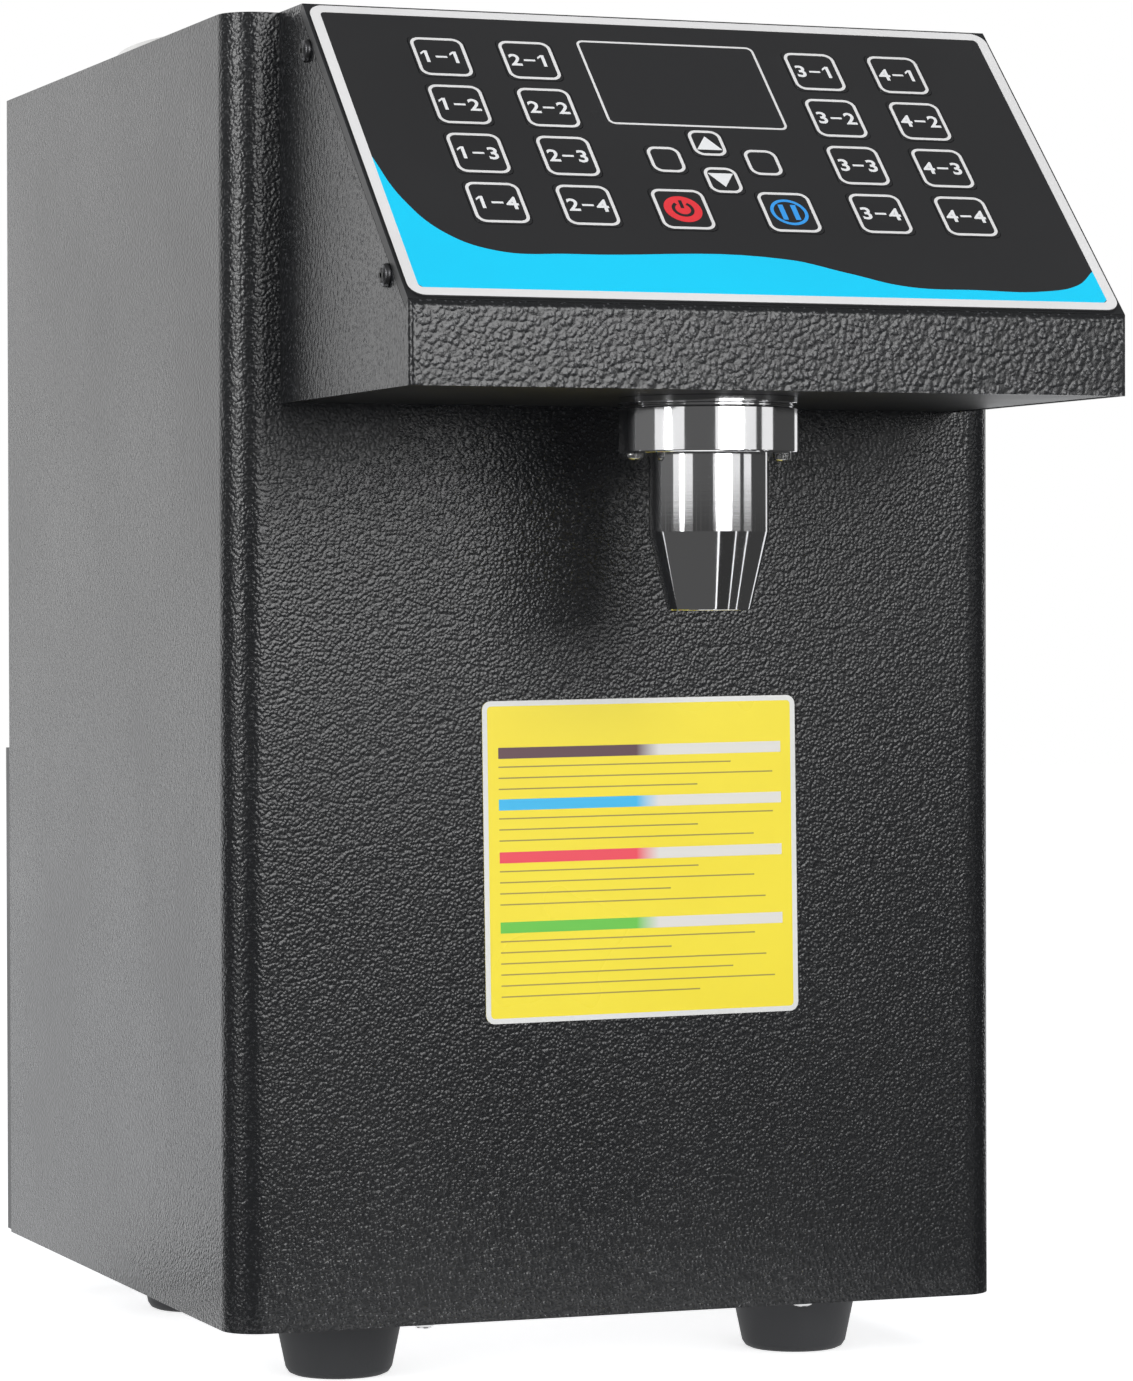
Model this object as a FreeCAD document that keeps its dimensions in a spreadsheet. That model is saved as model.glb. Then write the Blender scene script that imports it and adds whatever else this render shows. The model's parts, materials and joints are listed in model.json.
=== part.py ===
import FreeCAD, Part
import math
import operator
import os
import types

import Sketcher

Vector = FreeCAD.Vector
Placement = FreeCAD.Placement
Rotation = FreeCAD.Rotation

doc = FreeCAD.newDocument("fructose_dispenser")

# Driving dimensions in millimetres and degrees. The cabinet's own frame has its origin at the middle of
# the cabinet's front bottom edge, with X to the right, Y to the back and Z up.
DIMENSIONS = {
    # Cabinet of bent sheet
    "cabinet_width": 270.0,
    "cabinet_depth": 287.0,
    "cabinet_height": 422.0,
    "wall": 1.2,
    "corner_radius": 12.0,
    "bottom_flange": 18.0,
    "rear_flange": 16.0,
    "panel_gap": 0.2,
    "top_skirt": 12.0,
    "rear_cover_depth": 5.0,
    "rear_cover_height": 180.0,
    "rear_cover_lift": 1.0,
    "rear_seam": 0.5,
    "rear_panel_inset": 4.0,
    "front_port_side": 23.0,
    "front_port_drop": 17.0,
    "front_port_height": 93.0,
    # Hood over the cup bay
    "hood_width": 236.0,
    "hood_top_depth": 24.5,
    "panel_length": 142.7,
    "slope_angle": 44.06,
    "lip_step": 1.5,
    "hood_height": 124.6,
    "hood_edge_radius": 2.0,
    "hood_flange": 14.0,
    "hood_floor_recess": 0.3,
    "hood_floor_skirt": 10.0,
    "ledge_width": 8.0,
    "rim_depth": 3.5,
    "rim_width": 2.6,
    "plate_flange_depth": 14.0,
    "plate_end_gap": 0.2,
    # Printed panel, keys and display
    "panel_thickness": 0.6,
    "panel_side_margin": 1.0,
    "panel_end_margin": 1.0,
    "panel_corner_radius": 5.0,
    "key_width": 18.6,
    "key_height": 20.2,
    "small_key_width": 12.2,
    "small_key_height": 13.5,
    "key_corner_radius": 2.5,
    "key_proud": 0.2,
    "key_depth": 1.6,
    "key_gap": 0.15,
    "key_travel": 0.4,
    "switch_gap": 0.05,
    "switch_size": 6.0,
    "switch_body_height": 3.5,
    "switch_plunger_radius": 1.75,
    "switch_height": 4.3,
    "key_row_pitch": 23.85,
    "key_row_first": 45.4,
    "key_column_inner": 49.0,
    "key_column_outer": 78.4,
    "arrow_key_high": 78.0,
    "arrow_key_low": 59.7,
    "side_key_out": 16.4,
    "side_key_height": 69.1,
    "symbol_key_out": 17.8,
    "symbol_key_height": 44.8,
    "window_half_width": 30.5,
    "window_low": 86.3,
    "window_high": 128.7,
    "display_margin": 3.0,
    "board_thickness": 1.6,
    "key_board_half_width": 97.0,
    "key_board_low": 29.0,
    "key_board_high": 134.0,
    "post_radius": 3.0,
    # Nozzle
    "nozzle_forward": 72.4,
    "collar_radius": 28.5,
    "collar_height": 17.8,
    "collar_ring": 2.9,
    "collar_groove": 0.8,
    "collar_screw_circle": 50.0,
    "nozzle_radius": 18.9,
    "nozzle_flange_radius": 22.0,
    "nozzle_straight": 24.4,
    "nozzle_cone": 24.5,
    "nozzle_tip_radius": 13.1,
    "outlet_radius": 11.0,
    "outlet_depth": 18.8,
    "valve_radius": 8.0,
    "valve_depth": 12.0,
    "syrup_bore": 3.5,
    "stem_radius": 12.0,
    "barb_radius": 5.0,
    "barb_length": 17.0,
    "fit_gap": 0.1,
    "soft_gap": 0.3,
    # Syrup tank and lid
    "tank_centre": 152.0,
    "tank_radius": 112.0,
    "tank_wall": 0.8,
    "tank_depth": 210.0,
    "tank_flange_radius": 122.0,
    "gasket_radius": 120.0,
    "gasket_width": 7.0,
    "gasket_height": 4.3,
    "lid_radius": 125.5,
    "lid_skirt": 5.2,
    "lid_plug_depth": 8.0,
    "lid_plug_gap": 1.0,
    "knob_radius": 17.0,
    "knob_height": 13.0,
    "knob_neck_radius": 8.0,
    "lid_thickness": 1.0,
    # Tank outlet and heater
    "outlet_flange_radius": 16.0,
    "outlet_flange_height": 2.5,
    "outlet_body_radius": 9.0,
    "outlet_body_length": 18.0,
    "nut_across": 26.0,
    "nut_height": 6.0,
    "heater_radius": 90.0,
    "heater_inner_radius": 20.0,
    "heater_thickness": 2.0,
    "hose_wall": 2.0,
    # Gear pump and motor
    "pump_side": 90.0,
    "pump_axis_height": 55.0,
    "pump_front": 64.0,
    "pump_width": 46.0,
    "pump_height": 52.0,
    "pump_body_depth": 22.0,
    "pump_cover_depth": 6.0,
    "gear_pitch_radius": 9.0,
    "gear_backlash_gap": 0.2,
    "gear_width": 14.0,
    "tooth_addendum": 1.4,
    "tooth_dedendum": 1.8,
    "gear_side_gap": 0.15,
    "shaft_radius": 4.0,
    "running_gap": 0.06,
    "motor_radius": 30.0,
    "motor_length": 95.0,
    "motor_boss_radius": 12.0,
    "bracket_thickness": 3.0,
    "bracket_foot": 36.0,
    "bracket_width": 80.0,
    # Electrical parts
    "supply_width": 86.0,
    "supply_length": 146.0,
    "supply_height": 42.0,
    "supply_side": 17.0,
    "supply_front": 66.0,
    "inlet_side": 50.0,
    "inlet_z": 45.0,
    "inlet_width": 27.4,
    "inlet_height": 19.6,
    "inlet_flange_width": 50.0,
    "inlet_flange_height": 24.0,
    "inlet_flange_thickness": 3.0,
    "inlet_depth": 22.0,
    "inlet_screw_spacing": 40.0,
    "switch_side": 95.0,
    "switch_half_width": 6.4,
    "switch_half_length": 9.4,
    "bezel_lip": 1.2,
    "bezel_thickness": 2.0,
    "switch_depth": 20.0,
    "rocker_half_width": 5.0,
    "rocker_half_length": 7.4,
    "rocker_rise": 3.0,
    "rocker_tilt": 12.0,
    "rocker_drop": 4.0,
    "trunnion_radius": 1.5,
    "board_standoff": 10.0,
    "board_front": 150.0,
    "board_length": 112.0,
    "board_low": 72.0,
    "board_height": 114.0,
    "board_corner": 6.0,
    "relay_width": 18.0,
    "relay_height": 28.0,
    "relay_depth": 16.0,
    "relay_pitch": 22.0,
    "relay_low": 34.0,
    "terminal_height": 12.0,
    "terminal_depth": 11.0,
    "transformer_length": 34.0,
    "transformer_height": 30.0,
    "transformer_depth": 20.0,
    "transformer_low": 72.0,
    "capacitor_radius": 6.0,
    "capacitor_length": 18.0,
    "supply_terminal_depth": 14.0,
    "supply_terminal_height": 16.0,
    # Label plate
    "label_width": 110.2,
    "label_height": 105.0,
    "label_x": 5.6,
    "label_z": 149.9,
    "label_thickness": 0.3,
    "label_corner_radius": 3.0,
    # Feet and fasteners
    "foot_height": 22.1,
    "foot_x": 82.3,
    "foot_front": 53.0,
    "foot_rear": 221.0,
    "foot_top_radius": 22.2,
    "foot_bottom_radius": 17.4,
    "foot_round": 2.5,
    "foot_screw_recess": 8.0,
    "foot_recess_radius": 6.5,
    "screw_head_radius": 3.7,
    "screw_head_height": 2.2,
    "screw_radius": 2.0,
    "screw_clearance": 0.2,
    "small_head_radius": 2.9,
    "small_head_height": 2.0,
    "small_screw_radius": 1.5,
}

sheet = doc.addObject("Spreadsheet::Sheet", "Sheet")
for row, (alias, number) in enumerate(DIMENSIONS.items(), 1):
    sheet.set(f"A{row}", alias)
    sheet.set(f"B{row}", str(number))
    sheet.setAlias(f"B{row}", alias)
doc.recompute()

OPERATIONS = {"+": operator.add, "-": operator.sub, "*": operator.mul, "/": operator.truediv}


class Size:
    """A length in millimetres or a ratio, with the spreadsheet expression that it comes from."""

    def __init__(self, value, text):
        self.value = value
        self.text = text

    def __add__(self, other):
        return joined(self, "+", other)

    def __radd__(self, other):
        return joined(other, "+", self)

    def __sub__(self, other):
        return joined(self, "-", other)

    def __rsub__(self, other):
        return joined(other, "-", self)

    def __mul__(self, other):
        return joined(self, "*", other)

    def __rmul__(self, other):
        return joined(other, "*", self)

    def __truediv__(self, other):
        return joined(self, "/", other)

    def __neg__(self):
        return joined(0, "-", self)

    def __float__(self):
        return self.value


def as_size(amount):
    """A plain number as a Size, and a Size as it is."""
    if isinstance(amount, Size):
        return amount
    return Size(float(amount), str(float(amount)))


def joined(left, sign, right):
    """Two sizes added, subtracted, multiplied or divided."""
    a = as_size(left)
    b = as_size(right)
    return Size(OPERATIONS[sign](a.value, b.value), f"({a.text} {sign} {b.text})")


def cosine(angle):
    return Size(math.cos(math.radians(angle.value)), f"cos({angle.text} * 1 deg)")


def sine(angle):
    return Size(math.sin(math.radians(angle.value)), f"sin({angle.text} * 1 deg)")


bound = {alias: Size(number, f"Sheet.{alias}") for alias, number in DIMENSIONS.items()}
size = types.SimpleNamespace(**bound)

# Sizes that several pieces share
half_width = size.cabinet_width / 2
half_hood = size.hood_width / 2
slope_run = size.panel_length * cosine(size.slope_angle)
slope_drop = size.panel_length * sine(size.slope_angle)
panel_foot_y = -(size.hood_top_depth + slope_run)
panel_foot_z = size.cabinet_height - slope_drop
lip_y = panel_foot_y - size.lip_step
lip_low = size.cabinet_height - size.hood_height
floor_z = lip_low + size.hood_floor_recess
port_half_width = half_hood - size.front_port_side
port_high = size.cabinet_height - size.front_port_drop
port_low = port_high - size.front_port_height
pump_x = size.pump_side - half_width
supply_x = half_width - size.supply_side - size.supply_width / 2
supply_rear = size.supply_front + size.supply_length
board_back = half_width - size.wall - size.board_standoff
board_x = board_back - size.board_thickness
inlet_x = half_width - size.inlet_side
switch_x = half_width - size.switch_side
rear_face = size.cabinet_depth + size.rear_cover_depth
pivot_y = rear_face - size.bezel_thickness + 0.5
base_top = size.wall * 2
screw_hole = size.screw_radius + size.screw_clearance
small_hole = size.small_screw_radius + size.screw_clearance
tank_bottom = size.cabinet_height + size.lid_thickness - size.tank_depth - size.tank_wall

rocker_end = size.rocker_rise + size.rocker_half_length * sine(size.rocker_tilt) / cosine(size.rocker_tilt)

# The machine is centred between the hood's lip and the heads of the inlet's screws
rearmost = rear_face + size.inlet_flange_thickness + size.small_head_height
front_y = -(rearmost + lip_y) / 2
CABINET_PLACE = Placement(Vector(0, front_y.value, size.foot_height.value), Rotation())
SLOPE_PLACE = CABINET_PLACE.multiply(
    Placement(
        Vector(0, panel_foot_y.value, panel_foot_z.value),
        Rotation(Vector(1, 0, 0), size.slope_angle.value),
    )
)

nodes = []

# A sketch on the XZ plane looks along -Y, so a level along Y is measured against its normal
NORMAL_SIGN = {"XY_Plane": 1, "XZ_Plane": -1, "YZ_Plane": 1}


def kept(piece, name, place=CABINET_PLACE):
    """Names a finished sub-part and puts it in its place in the machine."""
    piece.Label = name
    piece.Placement = place
    nodes.append(piece)
    return piece


def new_body(name):
    return doc.addObject("PartDesign::Body", name)


def bind(sketch, kind, index, value):
    """Ties one coordinate of a sketch point to its expression."""
    number = sketch.addConstraint(Sketcher.Constraint(kind, -1, 1, index[0], index[1], value.value))
    sketch.setExpression(f"Constraints[{number}]", value.text)


def add_loop(sketch, points):
    """A closed run of straight lines whose corners are bound to the sheet."""
    first = sketch.GeometryCount
    corners = [(as_size(x), as_size(y)) for x, y in points]
    count = len(corners)
    for i, (x, y) in enumerate(corners):
        end_x, end_y = corners[(i + 1) % count]
        start = Vector(x.value, y.value, 0)
        sketch.addGeometry(Part.LineSegment(start, Vector(end_x.value, end_y.value, 0)), False)
    for i, (x, y) in enumerate(corners):
        following = first + (i + 1) % count
        sketch.addConstraint(Sketcher.Constraint("Coincident", first + i, 2, following, 1))
        bind(sketch, "DistanceX", (first + i, 1), x)
        bind(sketch, "DistanceY", (first + i, 1), y)


def add_circle(sketch, x, y, radius):
    """A circle whose centre and radius are bound to the sheet."""
    x = as_size(x)
    y = as_size(y)
    radius = as_size(radius)
    index = sketch.addGeometry(
        Part.Circle(Vector(x.value, y.value, 0), Vector(0, 0, 1), radius.value), False
    )
    bind(sketch, "DistanceX", (index, 3), x)
    bind(sketch, "DistanceY", (index, 3), y)
    number = sketch.addConstraint(Sketcher.Constraint("Radius", index, radius.value))
    sketch.setExpression(f"Constraints[{number}]", radius.text)


def sketch_on(body, role, level, loops, circles=()):
    """A sketch on one of the body's own origin planes, at a level along that plane's axis."""
    sketch = body.newObject("Sketcher::SketchObject", "outline")
    plane = next(feature for feature in body.Origin.OriginFeatures if feature.Role == role)
    sketch.AttachmentSupport = [(plane, "")]
    sketch.MapMode = "FlatFace"
    offset = as_size(level) * NORMAL_SIGN[role]
    sketch.AttachmentOffset = Placement(Vector(0, 0, offset.value), Rotation())
    sketch.setExpression("AttachmentOffset.Base.z", offset.text)
    for loop in loops:
        add_loop(sketch, loop)
    for circle in circles:
        add_circle(sketch, *circle)
    return sketch


def pad(body, role, low, high, loops=(), circles=()):
    """Adds material from low to high along the plane's axis."""
    feature = body.newObject("PartDesign::Pad", "pad")
    feature.Profile = sketch_on(body, role, low, loops, circles)
    feature.Reversed = NORMAL_SIGN[role] < 0
    length = as_size(high) - low
    feature.Length = length.value
    feature.setExpression("Length", length.text)
    return feature


def pocket(body, role, low, high, loops=(), circles=()):
    """Removes material from low to high along the plane's axis."""
    feature = body.newObject("PartDesign::Pocket", "pocket")
    feature.Profile = sketch_on(body, role, low, loops, circles)
    feature.Reversed = NORMAL_SIGN[role] > 0
    length = as_size(high) - low
    feature.Length = length.value
    feature.setExpression("Length", length.text)
    return feature


def turn(body, profile):
    """Turns a closed (radius, height) profile about the body's Z axis."""
    feature = body.newObject("PartDesign::Revolution", "turned")
    sketch = sketch_on(body, "XZ_Plane", 0, [profile])
    feature.Profile = sketch
    feature.ReferenceAxis = (sketch, ["V_Axis"])
    feature.Angle = 360
    return feature


def round_edges(body, radius, chosen):
    """Rounds the edges of the body so far that the test picks."""
    doc.recompute()
    base = body.Tip
    names = [f"Edge{i}" for i, edge in enumerate(base.Shape.Edges, 1) if chosen(edge)]
    feature = body.newObject("PartDesign::Fillet", "rounded")
    feature.Base = (base, names)
    radius = as_size(radius)
    feature.Radius = radius.value
    feature.setExpression("Radius", radius.text)
    return feature


def runs_along(edge, axis):
    """True for a straight edge parallel to the axis."""
    if len(edge.Vertexes) < 2:
        return False
    if edge.Curve.TypeId != "Part::GeomLine":
        return False
    step = edge.Vertexes[-1].Point - edge.Vertexes[0].Point
    return abs(step.normalize().dot(axis)) > 0.9999


def upright_edges_near(spots):
    """A test for upright edges that stand at one of the (x, y) spots."""

    def chosen(edge):
        if not runs_along(edge, Vector(0, 0, 1)):
            return False
        point = edge.Vertexes[0].Point
        return any(math.hypot(point.x - float(x), point.y - float(y)) < 0.01 for x, y in spots)

    return chosen


def rim_edges_at(radius, height):
    """A test for the circular edge of a turned piece at a radius and a height."""

    def chosen(edge):
        if edge.Curve.TypeId != "Part::GeomCircle":
            return False
        centre = edge.Curve.Center
        return abs(edge.Curve.Radius - float(radius)) < 0.01 and abs(centre.z - float(height)) < 0.01

    return chosen


def rectangle(x_low, x_high, y_low, y_high):
    return [(x_low, y_low), (x_high, y_low), (x_high, y_high), (x_low, y_high)]


def corners_of(loop):
    return [(float(x), float(y)) for x, y in loop]


def across(x, values):
    """Mirror pairs: the same point at plus and minus x for each value."""
    return [(sign * x, value) for value in values for sign in (-1, 1)]


def box(low, high):
    """A plain block between two corners, bound to the sheet."""
    block = doc.addObject("Part::Box", "block")
    for side, axis, start, end in zip(("Length", "Width", "Height"), "xyz", low, high):
        start = as_size(start)
        length = as_size(end) - start
        block.setExpression(side, length.text)
        block.setExpression(f"Placement.Base.{axis}", start.text)
    return block


def rod(radius, length, base, direction=Vector(0, 0, 1)):
    """A plain round bar from a base point along a direction."""
    bar = doc.addObject("Part::Cylinder", "rod")
    bar.setExpression("Radius", as_size(radius).text)
    bar.setExpression("Height", as_size(length).text)
    bar.Placement = Placement(Vector(0, 0, 0), Rotation(Vector(0, 0, 1), direction))
    for axis, value in zip("xyz", base):
        bar.setExpression(f"Placement.Base.{axis}", as_size(value).text)
    return bar


def group(pieces):
    """Several solids that share one node."""
    together = doc.addObject("Part::Compound", "group")
    together.Links = pieces
    return together


# Cabinet shell: front and both sides bent from one painted sheet, with flanges at the bottom and rear
CASE_SCREW_X = half_width - size.rear_flange / 2
REAR_PANEL_SCREW_Z = (
    size.rear_cover_height + 18,
    (size.rear_cover_height + size.cabinet_height) / 2,
    size.cabinet_height - 14,
)
REAR_COVER_SCREW_Z = (
    size.rear_cover_lift + 14,
    size.rear_cover_lift + size.rear_cover_height / 2,
    size.rear_cover_lift + size.rear_cover_height - 14,
)
BASE_SCREWS = (
    across(as_size(67), [size.bottom_flange / 2 + size.wall])
    + across(as_size(67), [size.cabinet_depth - size.bottom_flange / 2 - size.wall])
    + across(half_width - size.bottom_flange / 2 - size.wall, [size.cabinet_depth / 2])
)
HOOD_SCREW_X = half_hood - size.wall - size.hood_flange / 2
HOOD_SCREWS = across(HOOD_SCREW_X, [port_low + 18, port_high - 10])


def make_cabinet_shell():
    body = new_body("body_shell")
    outline = rectangle(-half_width, half_width, 0, size.cabinet_depth)
    pad(body, "XY_Plane", 0, size.cabinet_height, [outline])
    inner = rectangle(
        -half_width + size.wall, half_width - size.wall, size.wall, size.cabinet_depth - size.wall
    )
    pocket(body, "XY_Plane", size.wall, size.cabinet_height + 1, [inner])
    round_edges(body, size.corner_radius - size.wall, upright_edges_near(corners_of(inner)[:2]))
    round_edges(body, size.corner_radius, upright_edges_near(corners_of(outline)[:2]))
    window = rectangle(
        -half_width + size.bottom_flange,
        half_width - size.bottom_flange,
        size.bottom_flange,
        size.cabinet_depth - size.bottom_flange,
    )
    pocket(body, "XY_Plane", -1, size.wall + 1, [window], [(x, y, screw_hole) for x, y in BASE_SCREWS])
    rear_window = rectangle(
        -half_width + size.rear_flange,
        half_width - size.rear_flange,
        size.bottom_flange,
        size.cabinet_height + 1,
    )
    screws = across(CASE_SCREW_X, REAR_COVER_SCREW_Z + REAR_PANEL_SCREW_Z)
    holes = [(x, z, screw_hole) for x, z in screws]
    pocket(body, "XZ_Plane", size.cabinet_depth - size.wall - 1, size.cabinet_depth + 1, [rear_window], holes)
    port = rectangle(
        -port_half_width, port_half_width, port_low, port_high
    )
    holes = [(x, z, screw_hole) for x, z in HOOD_SCREWS]
    pocket(body, "XZ_Plane", -1, size.wall + 1, [port], holes)
    return kept(body, "body_shell")


# Base plate: lies on the shell's bottom flanges and carries the pump, the supply and the feet
FOOT_SPOTS = across(size.foot_x, [size.foot_front, size.foot_rear])


def make_base_plate():
    body = new_body("base_plate")
    edge = size.wall + size.panel_gap
    outline = rectangle(-half_width + edge, half_width - edge, edge, size.cabinet_depth - edge)
    pad(body, "XY_Plane", size.wall, base_top, [outline])
    round_edges(body, size.corner_radius - edge, upright_edges_near(corners_of(outline)[:2]))
    holes = [(x, y, screw_hole) for x, y in BASE_SCREWS + FOOT_SPOTS]
    pocket(body, "XY_Plane", size.wall - 1, base_top + 1, (), holes)
    return kept(body, "base_plate")


# Top panel: a shallow tray set flush into the shell, with the round mouth that the tank hangs in
def make_top_panel():
    body = new_body("top_panel")
    edge = size.wall + size.panel_gap
    outline = rectangle(-half_width + edge, half_width - edge, edge, size.cabinet_depth - size.panel_gap)
    top = size.cabinet_height
    pad(body, "XY_Plane", top - size.top_skirt, top, [outline])
    inside = rectangle(
        -half_width + edge + size.wall,
        half_width - edge - size.wall,
        edge + size.wall,
        size.cabinet_depth - size.panel_gap - size.wall,
    )
    pocket(body, "XY_Plane", top - size.top_skirt - 1, top - size.wall, [inside])
    inner_radius = size.corner_radius - edge - size.wall
    round_edges(body, inner_radius, upright_edges_near(corners_of(inside)[:2]))
    round_edges(body, size.corner_radius - edge, upright_edges_near(corners_of(outline)[:2]))
    flange_notch = half_width - size.rear_flange - size.panel_gap
    for low, high in ((-half_width, -flange_notch), (flange_notch, half_width)):
        notch = rectangle(low, high, size.cabinet_depth - size.wall - size.panel_gap, size.cabinet_depth)
        pocket(body, "XY_Plane", top - size.top_skirt - 1, top + 1, [notch])
    mouth = (0, size.tank_centre, size.tank_radius + size.tank_wall + size.soft_gap)
    pocket(body, "XY_Plane", top - size.wall - 1, top + 1, (), [mouth])
    return kept(body, "top_panel")


# Rear panel: flat sheet over the upper opening, screwed to the shell's rear flanges
def make_rear_panel():
    body = new_body("rear_panel")
    low = size.rear_cover_lift + size.rear_cover_height + size.rear_seam
    side = half_width - size.rear_panel_inset
    outline = rectangle(-side, side, low, size.cabinet_height - size.rear_seam)
    holes = [(x, z, screw_hole) for x, z in across(CASE_SCREW_X, REAR_PANEL_SCREW_Z)]
    pad(body, "XZ_Plane", size.cabinet_depth, size.cabinet_depth + size.wall, [outline])
    pocket(body, "XZ_Plane", size.cabinet_depth - 1, size.cabinet_depth + size.wall + 1, (), holes)
    return kept(body, "rear_panel")


# Rear cover: shallow tray over the lower opening, with air slots, the mains inlet and the switch
SLOT_ROWS = 8
SLOT_HEIGHT = 3.0
SLOT_PITCH = 8.0
SLOT_LENGTH = 70.0
SLOT_GAP = 24.0
SLOT_LOW = 92.0


def slot_loops():
    loops = []
    for row in range(SLOT_ROWS):
        low = SLOT_LOW + row * SLOT_PITCH
        for start in (-SLOT_LENGTH - SLOT_GAP / 2, SLOT_GAP / 2):
            loops.append(rectangle(start, start + SLOT_LENGTH, low, low + SLOT_HEIGHT))
    return loops


def make_rear_cover():
    body = new_body("rear_cover")
    low = size.rear_cover_lift
    high = low + size.rear_cover_height
    pad(body, "XZ_Plane", size.cabinet_depth, rear_face, [rectangle(-half_width, half_width, low, high)])
    inside = rectangle(-half_width + size.wall, half_width - size.wall, low + size.wall, high - size.wall)
    pocket(body, "XZ_Plane", size.cabinet_depth - 1, rear_face - size.wall, [inside])
    inlet = rectangle(
        inlet_x - size.inlet_width / 2 - size.panel_gap,
        inlet_x + size.inlet_width / 2 + size.panel_gap,
        size.inlet_z - size.inlet_height / 2 - size.panel_gap,
        size.inlet_z + size.inlet_height / 2 + size.panel_gap,
    )
    switch = rectangle(
        switch_x - size.switch_half_width - size.panel_gap,
        switch_x + size.switch_half_width + size.panel_gap,
        size.inlet_z - size.switch_half_length - size.panel_gap,
        size.inlet_z + size.switch_half_length + size.panel_gap,
    )
    holes = [(x, z, screw_hole) for x, z in across(CASE_SCREW_X, REAR_COVER_SCREW_Z)]
    for side in (-1, 1):
        holes.append((inlet_x + side * size.inlet_screw_spacing / 2, size.inlet_z, small_hole))
    loops = [inlet, switch] + slot_loops()
    pocket(body, "XZ_Plane", rear_face - size.wall - 1, rear_face + 1, loops, holes)
    return kept(body, "rear_cover")


# Hood: folded sheet with a vertical lip, a flat top and two side walls, open under the sloping panel
def slope_point(up, deep):
    """A point in the (y, z) plane, up the slope from the panel's foot and below its surface."""
    run = cosine(size.slope_angle)
    rise = sine(size.slope_angle)
    return (panel_foot_y + up * run + deep * rise, panel_foot_z + up * rise - deep * run)


def slope_strip(up_low, up_high, deep_low, deep_high):
    return [
        slope_point(up_low, deep_low),
        slope_point(up_high, deep_low),
        slope_point(up_high, deep_high),
        slope_point(up_low, deep_high),
    ]


PLATE_SCREWS = ((19.4, 7.3), (127.9, 7.3))


def make_hood_shell():
    body = new_body("hood_shell")
    lip_top = panel_foot_z - size.lip_step * sine(size.slope_angle) / cosine(size.slope_angle)
    top = size.cabinet_height
    outline = [
        (0, lip_low),
        (lip_y, lip_low),
        (lip_y, lip_top),
        (-size.hood_top_depth, top),
        (0, top),
    ]
    pad(body, "YZ_Plane", -half_hood, half_hood, [outline])

    def on_lip(edge):
        point = edge.Vertexes[0].Point
        if abs(point.y - lip_y.value) > 0.01:
            return False
        at_bend = runs_along(edge, Vector(1, 0, 0)) and abs(point.z - lip_top.value) < 0.01
        return at_bend or runs_along(edge, Vector(0, 0, 1))

    round_edges(body, size.hood_edge_radius, on_lip)
    inner_half = half_hood - size.wall
    skin = size.wall * 2 + 0.1
    inner_lip = lip_y + size.wall
    slope_foot = (inner_lip - panel_foot_y - skin * sine(size.slope_angle)) / cosine(size.slope_angle)
    inner_rise = slope_drop - size.wall + skin * cosine(size.slope_angle)
    inner_top_up = inner_rise / sine(size.slope_angle)
    hollow = [
        (-size.wall, lip_low - 1),
        (inner_lip, lip_low - 1),
        slope_point(slope_foot, skin),
        slope_point(inner_top_up, skin),
        (-size.wall, top - size.wall),
    ]
    pocket(body, "YZ_Plane", -inner_half, inner_half, [hollow])
    foot = size.plate_end_gap
    head = size.panel_length - size.plate_end_gap
    seat = size.wall + 0.1
    pocket(body, "YZ_Plane", -inner_half, inner_half, [slope_strip(foot, head, -3, seat)])
    side_seat = size.rim_depth + size.panel_gap
    side_strip = slope_strip(foot, head, -3, side_seat)
    ledge_half = half_hood - size.rim_width - size.panel_gap
    pocket(body, "YZ_Plane", ledge_half, half_hood + 1, [side_strip])
    pocket(body, "YZ_Plane", -half_hood - 1, -ledge_half, [side_strip])
    opening = slope_strip(size.ledge_width, size.panel_length - size.ledge_width, -3, skin + 1)
    pocket(body, "YZ_Plane", -inner_half, inner_half, [opening])
    rear_half = inner_half - size.hood_flange
    rear_window = rectangle(-rear_half, rear_half, lip_low - 1, port_high + size.wall)
    holes = [(x, z, screw_hole) for x, z in HOOD_SCREWS]
    pocket(body, "XZ_Plane", -size.wall - 1, 1, [rear_window], holes)
    side_holes = [slope_point(*spot) + (screw_hole,) for spot in PLATE_SCREWS]
    pocket(body, "YZ_Plane", -half_hood - 1, half_hood + 1, (), side_holes)
    return kept(body, "hood_shell")


# Hood floor: tray set up inside the hood, pierced for the nozzle's stem and its screws
COLLAR_SCREWS = across(size.collar_screw_circle / 2, [-size.nozzle_forward])


def make_hood_floor():
    body = new_body("hood_floor")
    edge = size.wall + size.panel_gap
    outline = rectangle(-half_hood + edge, half_hood - edge, lip_y + edge, -edge)
    pad(body, "XY_Plane", floor_z, floor_z + size.hood_floor_skirt, [outline])
    edge = edge + size.wall
    inside = rectangle(-half_hood + edge, half_hood - edge, lip_y + edge, -edge)
    pocket(body, "XY_Plane", floor_z + size.wall, floor_z + size.hood_floor_skirt + 1, [inside])
    holes = [(0, -size.nozzle_forward, size.stem_radius + size.panel_gap)]
    holes += [(x, y, small_hole) for x, y in COLLAR_SCREWS]
    pocket(body, "XY_Plane", floor_z - 1, floor_z + size.wall + 1, (), holes)
    return kept(body, "hood_floor")


# The sloping panel's pieces are drawn flat, X across and Y up the slope, with Z out of the surface
COLUMNS = (-size.key_column_outer, -size.key_column_inner, size.key_column_inner, size.key_column_outer)


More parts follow.
